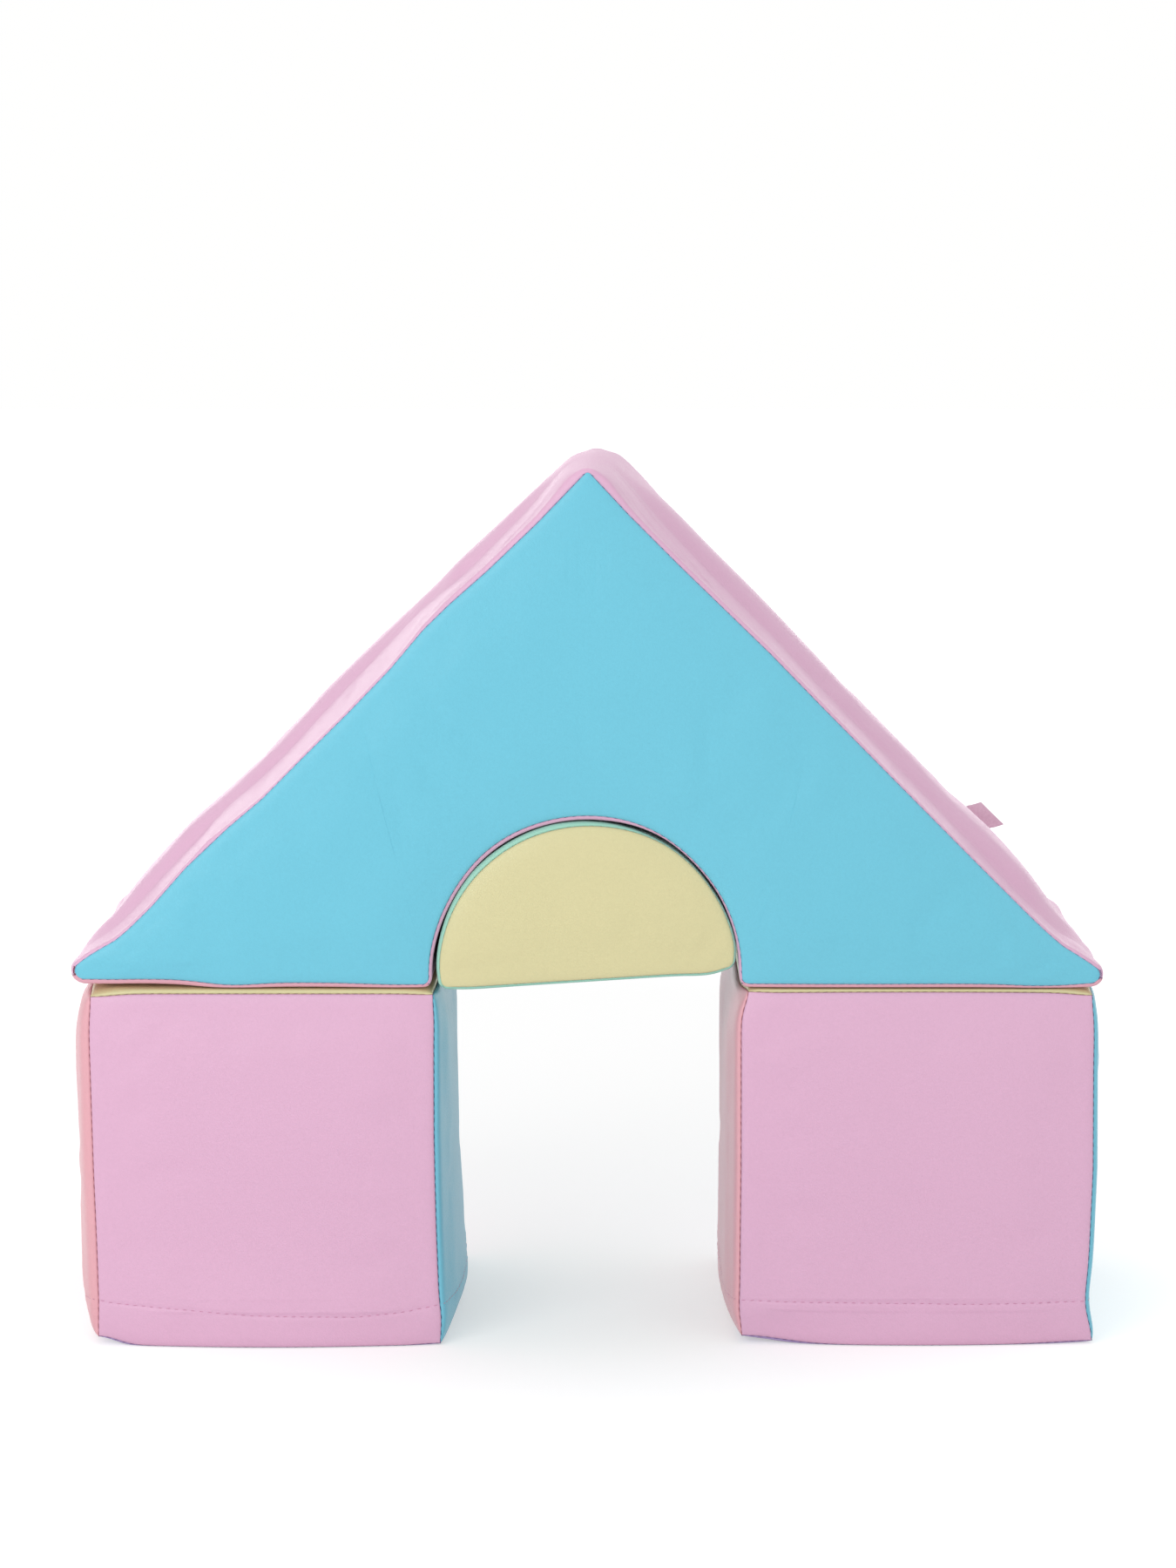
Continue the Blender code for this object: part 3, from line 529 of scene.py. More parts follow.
roof = {
    "prefix": "roof", "name": "roof", "seed": 37, "place": (0.0, 0.2108), "height": 0.15, "step": 0.0030,
    "rowStep": 0.0020, "split": 0.55, "low": 0.2087, "lip": 0.0020, "tipReach": 0.028,
    "halfWidth": 0.297, "rise": 0.291, "tipRadius": 0.0048, "ridgeRadius": 0.002, "softRidgeRadius": 0.017,
    "archRadius": 0.0896, "archFoot": 0.0076, "footRadius": 0.0034, "ridgeRows": (0.87, 0.88, 22),
    "crown": {"front": 0.0048, "back": 0.0034, "base": 0.0045},
    "archLip": [(-0.090, 2.0), (-0.055, 2.6), (0.010, 2.6), (0.045, 1.3), (0.078, 1.0), (0.090, 1.6)],      # x, mm
    "pulls": [
        ((-288, -101.7, 218), (-1.2, 0.6, 0.8), (12, 30, 10)),      # pinched tips
        ((288, -101.7, 217.5), (1, 0.6, 0.4), (12, 30, 10)),
        ((-296, -90, 213), (-2.2, 0, 0), (10, 10, 10)),      # where the gusset folds round them
        ((296, -90, 213), (1.4, 0, 0), (10, 10, 10)),
        ((-283, -75, 232), (-3, 0, 2), (14, 40, 14)),
        ((283, -75, 232), (2, 0, 1.4), (14, 40, 14)),
        ((-75, -101.7, 262), (0.8, 0, -0.8), (30, 60, 30)),
        ((-286, 98.3, 219.5), (-1, -0.6, 4.2), (12, 30, 10)),
        ((286, 98.3, 219), (0.6, -0.6, 3), (12, 30, 10)),
        ((-256, -101.7, 210.8), (0, 0, 3), (40, 60, 16)),      # the left foot rises to its tip
        ((-203, -101.7, 210.8), (0, 0, -1.8), (20, 40, 12)),
        ((-105, -101.7, 210.8), (0, 0, -1.2), (30, 40, 10)),
        ((150, -101.7, 210.8), (0, 0, -0.9), (90, 40, 12)),
        ((0, 98.3, 498), (5.6, 0, 0.8), (60, 100, 60)),      # the ridge leans at the back
        ((0, 98.3, 501.8), (0, 0, -3.6), (14, 45, 14)),      # and its rear corner is worn round
        ((0, -101.7, 308), (0, 0, -1.4), (70, 60, 25)),      # the arch leans on the half-round
        ((66, -101.7, 275), (-2.6, 0, -1.8), (35, 60, 40)),
        ((89, -101.7, 242), (-1.7, 0, 0), (24, 70, 30)),
        ((89, -101.7, 214), (-1.2, 0, 0), (24, 70, 20)),
        ((-295, 98.3, 212), (4.5, 0, -1), (36, 70, 40)),
        ((295, 98.3, 212), (-3, 0, -0.5), (36, 70, 40)),
        ((-87, -101.7, 214), (-1, 0, 0), (16, 40, 20)),
    ],
    "edges": [
        slopeEdge(-1, "frontSeam", 0.075, [
            (0, 0.2), (0.10, 1.4), (0.19, 1.0), (0.26, -0.5), (0.31, -0.6), (0.38, 2.2), (0.46, 3.2), (0.55, 3.4),
            (0.63, 3.9), (0.69, 2.1), (0.77, 1.6), (0.84, 3.7), (0.91, 3.9), (0.97, 1.0), (1, 0)]),
        slopeEdge(1, "frontSeam", 0.075, [
            (0, 0.6), (0.08, 2.1), (0.18, 2.5), (0.35, 2.1), (0.45, 3.1), (0.6, 4.1), (0.75, 5.0), (0.85, 5.4),
            (0.92, 5.2), (0.97, 1.6), (1, 0)]),
        slopeEdge(-1, "backSeam", 0.060, [
            (0, 0), (0.15, 1.6), (0.4, 2.4), (0.6, 1.4), (0.8, 0.4), (0.9, -0.6), (1, 0)]),
        slopeEdge(1, "backSeam", 0.060, [
            (0, 0), (0.2, 2.0), (0.45, 1.2), (0.7, 1.4), (0.82, 2.4), (0.92, 3.2), (1, 0)]),
    ],
}

halfRound = {
    "prefix": "half_round", "name": "halfRound", "seed": 41, "place": (0.0, 0.216), "height": 0.08, "tilt": 3.7,
    "radius": 0.0845, "foot": 0.0034, "cornerRadius": 0.0036, "lip": 0.0012,
    "crown": {"front": 0.0043, "back": 0.0034, "base": 0.0028},
    "curveLip": [(-0.085, 1.8), (-0.060, 3.0), (-0.015, 3.0), (0.020, 1.8), (0.045, 0.6), (0.072, 0.4), (0.085, 1.2)],
    "pulls": [
        ((84.5, -101.7, 218.5), (-2, 0, 2.2), (10, 30, 10)),
        ((66, -101.7, 216.5), (0, 0, -0.6), (12, 40, 10)),
        ((-84.5, -101.7, 208), (1, 0, 1), (12, 30, 10)),
        ((45, -101.7, 293), (0.8, 0, 0.8), (35, 50, 30)),
    ],
    "edges": [],
}


# cloth: each cover swells against its seams, which leaves the small puckers of a sewn skin

clothValues = {
    "frames": 20, "cap": 0.0011, "smoothing": 26, "near": 0.0004,
    "settings": {"quality": 6, "mass": 0.2, "use_pressure": True, "uniform_pressure_force": 4.0, "shrink_min": -0.012,
                 "bending_stiffness": 0.05, "vertex_group_mass": "seams"},
    "kept": {"leftCube": 0.8, "rightCube": 0.8, "roof": 0.45, "halfRound": 0.7},      # share of the puckers that shows
}


def puckers(shape):
    # the height of the puckers over the smooth cover, as a function of a place on it
    grids = list(blockGrids(shape, False).values())
    skin = newObject(shape["name"] + "Sim", gridMesh(shape["name"] + "Sim", grids))
    rest = vertexValues(skin.data.vertices, "co")
    count = len(rest)
    tree = KDTree(count)
    for i, point in enumerate(rest):
        tree.insert(point, i)
    tree.balance()
    borders = np.concatenate([np.concatenate([g[0], g[-1], g[:, 0], g[:, -1]]) for g in grids])
    seams = skin.vertex_groups.new(name="seams")
    seams.add(sorted({tree.find(point)[1] for point in borders}), 1.0, "REPLACE")
    cloth = skin.modifiers.new("Cloth", "CLOTH")
    for name, value in clothValues["settings"].items():
        setattr(cloth.settings, name, value)
    cloth.settings.effector_weights.gravity = 0
    cloth.point_cache.frame_start, cloth.point_cache.frame_end = 1, clothValues["frames"]
    for step in range(1, clothValues["frames"] + 1):
        scene.frame_set(step)
    swollen = skin.evaluated_get(bpy.context.evaluated_depsgraph_get()).to_mesh()
    shift = vertexValues(swollen.vertices, "co") - rest
    rise = (shift * vertexValues(skin.data.vertices, "normal")).sum(1)
    ends = np.array([edge.vertices[:] for edge in skin.data.edges])
    links = np.bincount(ends.ravel(), minlength=count)
    smooth = rise.copy()
    for _ in range(clothValues["smoothing"]):
        total = np.bincount(ends[:, 0], smooth[ends[:, 1]], count) + np.bincount(ends[:, 1], smooth[ends[:, 0]], count)
        smooth = np.where(links > 0, total / np.maximum(links, 1), 0)
    fine = np.clip(rise - smooth, -clothValues["cap"], clothValues["cap"]) * clothValues["kept"][shape["name"]]
    faces = [tuple(face.vertices) for face in skin.data.polygons]
    surface = BVHTree.FromPolygons([tuple(p) for p in rest], faces)
    print(shape["name"], "cover swelled by", round(float(rise.max()) * 1000, 1), "mm, puckers",
          round(float(fine.std()) * 1000, 2), "mm")
    bpy.data.objects.remove(skin)
    scene.frame_set(1)

    def heightAt(points):
        heights = np.zeros(len(points))
        for i, point in enumerate(points):
            face = surface.find_nearest(point)[2]
            corners = list(faces[face])
            weights = 1 / (np.linalg.norm(rest[corners] - point, axis=1) + clothValues["near"])
            heights[i] = fine[corners] @ weights / weights.sum()
        return heights
    return heightAt


def hemHeight(shape, points):
    # the hem's height, which wanders along the front and stays level on the other sides
    places, heights = np.array(shape["hem"]).T
    front = np.clip((cover["frontSeam"] + cover["hemTurn"] - points[..., 1]) / cover["hemTurn"], 0, 1)
    level = shape["hemLevel"]
    return level + (np.interp(points[..., 0], places, heights) - level) * front


panelNodes = {"front": "front_panel", "back": "back_panel", "top": "top_panel", "base": "base_panel",
              "leftSide": "left_side_panel", "rightSide": "right_side_panel", "slope": "slope_gusset",
              "arch": "arch_lining", "leftBase": "left_base_strip", "rightBase": "right_base_strip",
              "curve": "curved_strip"}

skinValues = {
    "puckerReach": 0.012, "waveLength": 0.075, "waveHeight": 0.00022, "waveReach": 0.05,
    "grooveDepth": 0.00045, "grooveWidth": 0.0010,                                    # along the hem
    "gatherHeight": 0.00020, "gatherWidth": 0.0035, "gatherTurns": (520, 480),
    "bend": 0.0001,
}


def makeCover(shape, colours):
    # the cover panels of a block and the foam inside them
    values = skinValues
    heightAt = puckers(shape)
    grids = blockGrids(shape, True)
    core = makeFoam(shape)
    for name, grid in grids.items():
        borders = (grid[:1], grid[-1:], grid[:, :1], grid[:, -1:])
        seam = np.minimum.reduce([np.linalg.norm(grid - border, axis=2) for border in borders])
        inside = np.clip(seam / values["puckerReach"], 0, 1)
        swell = waves(grid, shape["seed"], values["waveLength"]) * values["waveHeight"]
        rise = swell * np.clip(seam / values["waveReach"], 0, 1)
        if heightAt:
            rise = rise + heightAt(grid.reshape(-1, 3)).reshape(seam.shape) * inside
        if "hem" in shape and name not in ("base", "top"):
            off = grid[..., 2] - hemHeight(shape, grid)
            gathers = np.sin(grid[..., 0] * values["gatherTurns"][0] + grid[..., 1] * values["gatherTurns"][1])
            rise = rise - values["grooveDepth"] * np.exp(-(off / values["grooveWidth"]) ** 2) * inside
            rise = rise + values["gatherHeight"] * gathers * np.exp(-(off / values["gatherWidth"]) ** 2) * inside
        grid = pressed(shape, grid + gridNormals(grid) * rise[..., None], values["bend"])
        grids[name] = grid
        title = shape["name"] + name[0].upper() + name[1:]
        panel = newObject(title, gridMesh(title, [grid]))
        thicken(panel, cover["wall"], -1)
        node = "base_strip" if shape["name"] == "halfRound" and name == "base" else panelNodes[name]
        dress(panel, vinyl(colours[name]), core, shape["prefix"] + "_" + node)
    print(shape["name"], "cover made")
    return core, grids


foamValues = {"inset": 0.0030, "waveHeight": 0.0002, "waveLength": 0.02, "seed": 5}


def makeFoam(shape):
    title = shape["name"] + "Foam"
    core = newObject(title, gridMesh(title, list(blockGrids(shape, False).values())))
    points, normals = (vertexValues(core.data.vertices, key) for key in ("co", "normal"))
    bumps = foamValues["waveHeight"] * waves(points, foamValues["seed"], foamValues["waveLength"])
    points -= normals * (foamValues["inset"] + bumps[:, None])
    core.data.vertices.foreach_set("co", points.ravel())
    core.data.update()
    core.data.materials.append(foamMaterial())
    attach(core, shape["prefix"])
    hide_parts(shape["prefix"] + "_foam_core")
    return core


# node trees

def wire(target, inputs):
    # gives a node its inputs: a socket is linked, and anything else is the value
    for key, value in inputs.items():
        if isinstance(value, bpy.types.NodeSocket):
            target.id_data.links.new(value, target.inputs[key])
        else:
            target.inputs[key].default_value = value


def nodeMaker(tree, prefix=""):
    # makes a tree's nodes, with inputs by their place or name and with settings
    def node(kind, *inputs, **settings):
        made = tree.nodes.new(prefix + kind)
        for key, value in settings.items():
            if key not in made.inputs:
                setattr(made, key, value)
        wire(made, {**dict(enumerate(inputs)), **{key: settings[key] for key in settings if key in made.inputs}})
        return made
    return node


# threads: Geometry Nodes lay a stitch at each step of a path, turned to the cover's own face

stitchValues = {
    "seam": {"Pitch": 0.0047, "Length": 0.0036, "Thickness": 0.00034, "Slant": 0.10, "Seed": 3},
    "hem": {"Pitch": 0.0048, "Length": 0.0026, "Thickness": 0.00036, "Slant": 0.04, "Seed": 5},
    "knot": {"Pitch": 0.0009, "Length": 0.0026, "Thickness": 0.0007, "Slant": 1.25, "Seed": 7},
    "coil": {"Pitch": 0.0013, "Length": 0.0026, "Thickness": 0.0010, "Slant": 1.571, "Seed": 0},
    "bare": {"seam": 0.001, "hem": 0.0025, "tip": 0.0046},                            # left out at each end
    "wobble": 0.09, "knotReach": 0.0042,
    "lift": 0.00025, "knotLift": 0.0007, "hemLift": 0.0001, "tipLifts": (("first", 0.0001), ("last", 0)),
    "outward": 0.6, "inner": 9,       # a seam's thread faces away from the panel's row that far inside
    "apart": 0.00003, "floor": 0.0005,
}


def stitchTree():
    tree = bpy.data.node_groups.new("stitches", "GeometryNodeTree")
    kinds = {"Geometry": "Geometry", "Pitch": "Float", "Length": "Float", "Thickness": "Float", "Slant": "Float",
             "Seed": "Int", "Material": "Material"}
    for name, kind in kinds.items():
        tree.interface.new_socket(name, in_out="INPUT", socket_type="NodeSocket" + kind)
    tree.interface.new_socket("Geometry", in_out="OUTPUT", socket_type="NodeSocketGeometry")
    node = nodeMaker(tree)
    given = node("NodeGroupInput").outputs
    curve = node("GeometryNodeMeshToCurve", Mesh=given["Geometry"])
    steps = node("GeometryNodeResampleCurve", mode="LENGTH", Curve=curve.outputs["Curve"], Length=given["Pitch"])
    ball = node("GeometryNodeMeshUVSphere", Segments=6, Rings=4, Radius=0.5)
    size = node("ShaderNodeCombineXYZ", given["Length"], given["Thickness"], given["Thickness"])
    shaped = node("GeometryNodeTransform", Geometry=ball.outputs["Mesh"], Scale=size.outputs[0])
    tangent = node("GeometryNodeInputTangent")
    facing = node("GeometryNodeInputNamedAttribute", data_type="FLOAT_VECTOR", Name="facing")
    first = node("FunctionNodeAlignRotationToVector", axis="X", Vector=tangent.outputs[0])
    second = node("FunctionNodeAlignRotationToVector", axis="Z", pivot_axis="X", Rotation=first.outputs["Rotation"],
                  Vector=facing.outputs["Attribute"])
    wobble = node("FunctionNodeRandomValue", data_type="FLOAT", Seed=given["Seed"])
    wire(wobble, {2: -stitchValues["wobble"], 3: stitchValues["wobble"]})
    lean = node("ShaderNodeMath", given["Slant"], wobble.outputs[1], operation="ADD")
    turn = node("ShaderNodeCombineXYZ", Z=lean.outputs[0])
    turned = node("FunctionNodeRotateRotation", rotation_space="LOCAL", Rotation=second.outputs["Rotation"],
                  **{"Rotate By": turn.outputs[0]})
    laid = node("GeometryNodeInstanceOnPoints", Points=steps.outputs["Curve"], Instance=shaped.outputs["Geometry"],
                Rotation=turned.outputs["Rotation"])
    real = node("GeometryNodeRealizeInstances", Geometry=laid.outputs["Instances"])
    dyed = node("GeometryNodeSetMaterial", Geometry=real.outputs["Geometry"], Material=given["Material"])
    node("NodeGroupOutput", Geometry=dyed.outputs["Geometry"])
    return tree


def makeStitches(name, paths, kind, material, core):
    # paths: pairs of points and the way the cover faces at each
    points = np.concatenate([p for p, _ in paths])
    facing = np.concatenate([f for _, f in paths])
    edges, start = [], 0
    for line, _ in paths:
        edges += [(start + i, start + i + 1) for i in range(len(line) - 1)]
        start += len(line)
    mesh = bpy.data.meshes.new(name + "Path")
    mesh.from_pydata(points.tolist(), edges, [])
    mesh.attributes.new("facing", "FLOAT_VECTOR", "POINT").data.foreach_set("vector", facing.ravel())
    path = newObject(name + "Path", mesh)
    stitches = path.modifiers.new("Stitches", "NODES")
    tree = bpy.data.node_groups.get("stitches") or stitchTree()
    stitches.node_group = tree
    values = {**stitchValues[kind], "Material": material}
    for item in tree.interface.items_tree:
        if item.in_out == "INPUT" and item.name in values:
            stitches[item.identifier] = values[item.name]
    laid = bpy.data.meshes.new_from_object(path.evaluated_get(bpy.context.evaluated_depsgraph_get()))
    laid.name = name
    laid.shade_smooth()
    bpy.data.objects.remove(path)
    made = newObject(name, laid)
    made.parent = core
    print(name, len(laid.polygons), "faces")
    return made


def borderPath(grid, edge, lift=stitchValues["lift"]):
    # a panel's border, lifted a little out of the groove, and the way its stitches face
    normals = gridNormals(grid)
    if edge in ("start", "stop"):
        grid, normals = grid.transpose(1, 0, 2), normals.transpose(1, 0, 2)
    values = stitchValues
    at, inner = (0, values["inner"]) if edge in ("first", "start") else (-1, -1 - values["inner"])
    line = grid[at]
    out = line - grid[inner]
    out /= np.linalg.norm(out, axis=1)[:, None] + 1e-9
    facing = out * values["outward"] + normals[inner]
    facing /= np.linalg.norm(facing, axis=1)[:, None] + 1e-9
    keep = np.concatenate([[True], np.linalg.norm(np.diff(line, axis=0), axis=1) > values["apart"]])
    line = line[keep] + facing[keep] * lift
    line[:, 2] = softFloor(line[:, 2], values["floor"], skinValues["bend"])
    return line, facing[keep]


def trimmed(path, bare):
    # leaves out a length at each end
    places = runPlaces(path[0])
    keep = (places >= bare) & (places <= places[-1] - bare)
    return path[0][keep], path[1][keep]


def uprightPath(lines, facings, heights, lift):
    # where each upright line of a panel crosses its height
    points, ways = [], []
    for line, facing, height in zip(lines, facings, heights):
        if line[0, 2] > line[-1, 2]:
            line, facing = line[::-1], facing[::-1]
        above = int(np.argmax(line[:, 2] > height))
        share = (height - line[above - 1, 2]) / (line[above, 2] - line[above - 1, 2] + 1e-9)
        points.append(line[above - 1] + (line[above] - line[above - 1]) * share + facing[above] * lift)
        ways.append(facing[above])
    return np.array(points), np.array(ways)


def hemPaths(shape, grids):
    paths = []
    for name in ("front", "back", "leftSide", "rightSide"):
        grid, normals = grids[name], gridNormals(grids[name])
        if name in ("front", "back"):
            grid, normals = grid.transpose(1, 0, 2), normals.transpose(1, 0, 2)
        heights = hemHeight(shape, grid[:, grid.shape[1] // 2])
        path = uprightPath(grid, normals, heights, stitchValues["hemLift"])
        line, facing = trimmed(path, stitchValues["bare"]["hem"])
        (centre, _), _, length = zipValues["places"][shape["name"]]
        beside = line[:, 0] - centre
        if name == "back":                                   # the zip's tape covers the hem between these two
            paths += [(line[side], facing[side]) for side in (beside > length / 2, beside < -length / 2)]
        else:
            paths.append((line, facing))
    return paths


def seamPaths(grids, borders):
    return [trimmed(borderPath(grids[panel], edge), stitchValues["bare"]["seam"]) for panel, edge in borders]


def sewCube(shape, grids, core):
    threads = {"brick": [("front", "start"), ("back", "stop"), ("leftSide", "start")],
               "navy": [("front", "stop"), ("back", "start"), ("rightSide", "stop"), ("rightSide", "start")],
               "sand": [("front", "last"), ("back", "last")],
               "plum": [("front", "first"), ("back", "first"), ("leftSide", "stop")]}
    for colour, borders in threads.items():
        title = shape["name"] + colour.capitalize() + "Thread"
        makeStitches(title, seamPaths(grids, borders), "seam", threadMaterial(colour), core)
    makeStitches(shape["name"] + "HemThread", hemPaths(shape, grids), "hem", threadMaterial("rose"), core)


def sewRoof(shape, grids, core):
    paths = [trimmed(borderPath(grids[panel], edge, lift), stitchValues["bare"]["tip"])  # the tips have their knots
             for panel in ("front", "back") for edge, lift in stitchValues["tipLifts"]]
    makeStitches("roofNavyThread", paths, "seam", threadMaterial("navy"), core)
    borders = [(panel, edge) for panel in ("leftBase", "rightBase") for edge in ("start", "stop")]
    makeStitches("roofPlumThread", seamPaths(grids, borders), "seam", threadMaterial("plum"), core)
    line, facing = borderPath(grids["front"], "last", stitchValues["knotLift"])
    for name, tip, colour in (("leftTipKnot", 0, "maroon"), ("rightTipKnot", -1, "navy")):
        near = np.linalg.norm(line - line[tip], axis=1) < stitchValues["knotReach"]
        makeStitches(name, [(line[near], facing[near])], "knot", threadMaterial(colour), core)


def sewHalfRound(shape, grids, core):
    paths = [borderPath(grids[panel], edge) for panel in ("front", "back") for edge in ("first", "last")]
    paths += seamPaths(grids, [("base", "start"), ("base", "stop")])
    makeStitches("halfRoundThread", paths, "seam", threadMaterial("sage"), core)


# zips in the back panels: a woven tape, its sewn edges and the coil that the slider runs on

zipValues = {
    "width": 0.0140, "lift": 0.00022, "tape": 0.0005, "columns": 15, "step": 0.0022, "sewn": 0.0056,
    "lip": 0.00035, "lipInset": 0.0006, "lipWidth": 0.0009,
    "coilGap": 0.0009, "coilRise": 0.00055, "coilSteps": 60, "endless": 0.0050, "endSeam": 0.0022,
    "shortfall": 0.0006,      # of one half of the coil, so that the two halves' turns alternate
    "behind": 0.3,            # where the rays that find the cover start
    "level": 0.65,            # how far the coil is straightened out of the cover's puckers
    "places": {
        "leftCube": ((-0.184, 0.0225), 0.0, 0.140), "rightCube": ((0.1865, 0.0225), 0.0, 0.140),
        "roof": ((-0.13381, 0.34130), 44.42, 0.250), "halfRound": ((-0.00119, 0.23446), 3.7, 0.104),
    },
    "threads": {"leftCube": "rose", "rightCube": "rose", "roof": "navy", "halfRound": "sage"},
}


def makeZip(shape, grids, core):
    values, name, back = zipValues, shape["name"], grids["back"]
    (x, z), angle, length = values["places"][name]
    turn = math.radians(angle)
    spot, forward = np.array([x, 0, z]), np.array([math.cos(turn), 0, math.sin(turn)])
    across = np.array([-math.sin(turn), 0, math.cos(turn)])
    surface = BVHTree.FromPolygons(back.reshape(-1, 3).tolist(), gridQuads(*back.shape[:2]).tolist())

    def lay(u, v, rise):
        point = spot + forward * u + across * v
        hit = surface.ray_cast(Vector((point[0], values["behind"], point[2])), Vector((0, -1, 0)))[0]
        return np.array([point[0], hit.y + rise, point[2]])

    def lip(v):
        return values["lip"] * math.exp(-((abs(v) - values["sewn"] + values["lipInset"]) / values["lipWidth"]) ** 2)

    def outward(points):
        return np.array(points), np.tile(np.array([0, 1, 0]), (len(points), 1))

    def coilRow(v, reach):
        us = np.linspace(-reach, reach, values["coilSteps"])
        points = np.array([lay(u, v, top + values["coilRise"] / 2) for u in us])
        points[:, 1] = points[:, 1] * (1 - values["level"]) + points[:, 1].mean() * values["level"]
        return outward(points)
    us = np.linspace(-length / 2, length / 2, round(length / values["step"]))
    vs = np.linspace(-values["width"] / 2, values["width"] / 2, values["columns"])
    tape = np.array([[lay(u, v, values["lift"] + lip(v)) for u in us[::-1]] for v in vs])
    mesh = gridMesh(name + "ZipTape", [tape])
    weaveMap(mesh, spot, forward, across)
    made = newObject(name + "ZipTape", mesh)
    thicken(made, values["tape"], 1)
    dress(made, tapeMaterial(), core, shape["prefix"] + "_zip")
    top, reach = values["lift"] + values["tape"], length / 2 - values["endless"]
    coils = [coilRow(values["coilGap"], reach), coilRow(-values["coilGap"], reach - values["shortfall"])]
    makeStitches(name + "ZipCoil", coils, "coil", nylonMaterial(), core)
    sewn, end = values["sewn"], length / 2 - values["endSeam"]
    seams = [outward([lay(u, v, top + lip(sewn)) for u in us[1:-1]]) for v in (sewn, -sewn)]
    seams += [outward([lay(u, v, top) for v in vs[3:-3]]) for u in (-end, end)]
    makeStitches(name + "ZipThread", seams, "hem", threadMaterial(values["threads"][name]), core)


# the loop label: a bare ribbon sewn into the rear seam of the right slope

labelValues = {
    "width": 0.0195, "reach": 0.0092, "gap": 0.0011, "wall": 0.00035, "spot": (0.2373, 0.0974, 0.2751),
    "along": (0.7145, 0, -0.6996), "way": (0.962, 0, 0.273), "curl": 0.0012,
    "sewn": 0.0040, "bend": 0.003, "turn": 0.0008,    # inside the seam, where it has leaned over, and round its fold
    "columns": 25, "bulge": 0.5, "foldWidth": 1.25,
}


def makeLabel(core):
    values = labelValues
    spot, forward, way = (np.array(values[key]) for key in ("spot", "along", "way"))
    out = np.array([-forward[2], 0, forward[0]])
    half, reach = values["gap"] / 2, values["reach"]
    profile = [(-half, -values["sewn"]), (-half, 0.0)]
    profile += [(-half * (1 + values["bulge"] * math.sin(math.pi * t)), reach * t) for t in (0.2, 0.4, 0.6, 0.8)]
    turns = np.radians(np.linspace(-90, 90, 9))
    profile += [(half * values["foldWidth"] * math.sin(a), reach + half * math.cos(a)) for a in turns]
    profile += [(-y, rise) for y, rise in profile[5:1:-1]] + [(half, 0.0), (half, -values["sewn"])]
    rows = []
    for share in np.linspace(-0.5, 0.5, values["columns"]):
        row = []
        for y, rise in profile:
            bent = min(max(rise, 0) / values["bend"], 1)     # it leaves the seam square and leans over
            curl = values["curl"] * (2 * share) ** 2 * max(rise, 0) / reach
            place = spot + forward * share * values["width"] + (out * (1 - bent) + way * bent) * rise
            row.append(place + np.array([0, y + curl, 0]))
        rows.append(row)
    mesh = gridMesh("roofLoopLabel", [np.array(rows)])
    weaveMap(mesh, spot, forward, out)
    label = newObject("roofLoopLabel", mesh)
    thicken(label, values["wall"], 0)
    dress(label, ribbonMaterial(), core, "roof_loop_label")


# materials

colourValues = {
    "pink": (0.790, 0.470, 0.655), "coral": (0.84, 0.435, 0.490), "aqua": (0.190, 0.585, 0.745),
    "blue": (0.172, 0.600, 0.765), "yellow": (0.735, 0.680, 0.380), "lilac": (0.46, 0.34, 0.62),
    "mint": (0.36, 0.70, 0.56), "salmon": (0.83, 0.43, 0.52),
}
threadColours = {
    "navy": (0.045, 0.060, 0.200), "brick": (0.36, 0.075, 0.095), "sand": (0.42, 0.27, 0.20),
    "plum": (0.16, 0.08, 0.26), "rose": (0.60, 0.24, 0.40), "maroon": (0.20, 0.02, 0.05), "sage": (0.42, 0.60, 0.50),
}


def newMaterial(name):
    made = bpy.data.materials.new(name)
    made.use_nodes = True
    return made, made.node_tree.nodes["Principled BSDF"], nodeMaker(made.node_tree, "ShaderNode")


def mixColour(node, factor, *colours):
    mix = node("Mix", data_type="RGBA")
    first, second = ((*colour, 1) if isinstance(colour, tuple) else colour for colour in colours)
    wire(mix, {0: factor, 6: first, 7: second})
    return mix.outputs[2]


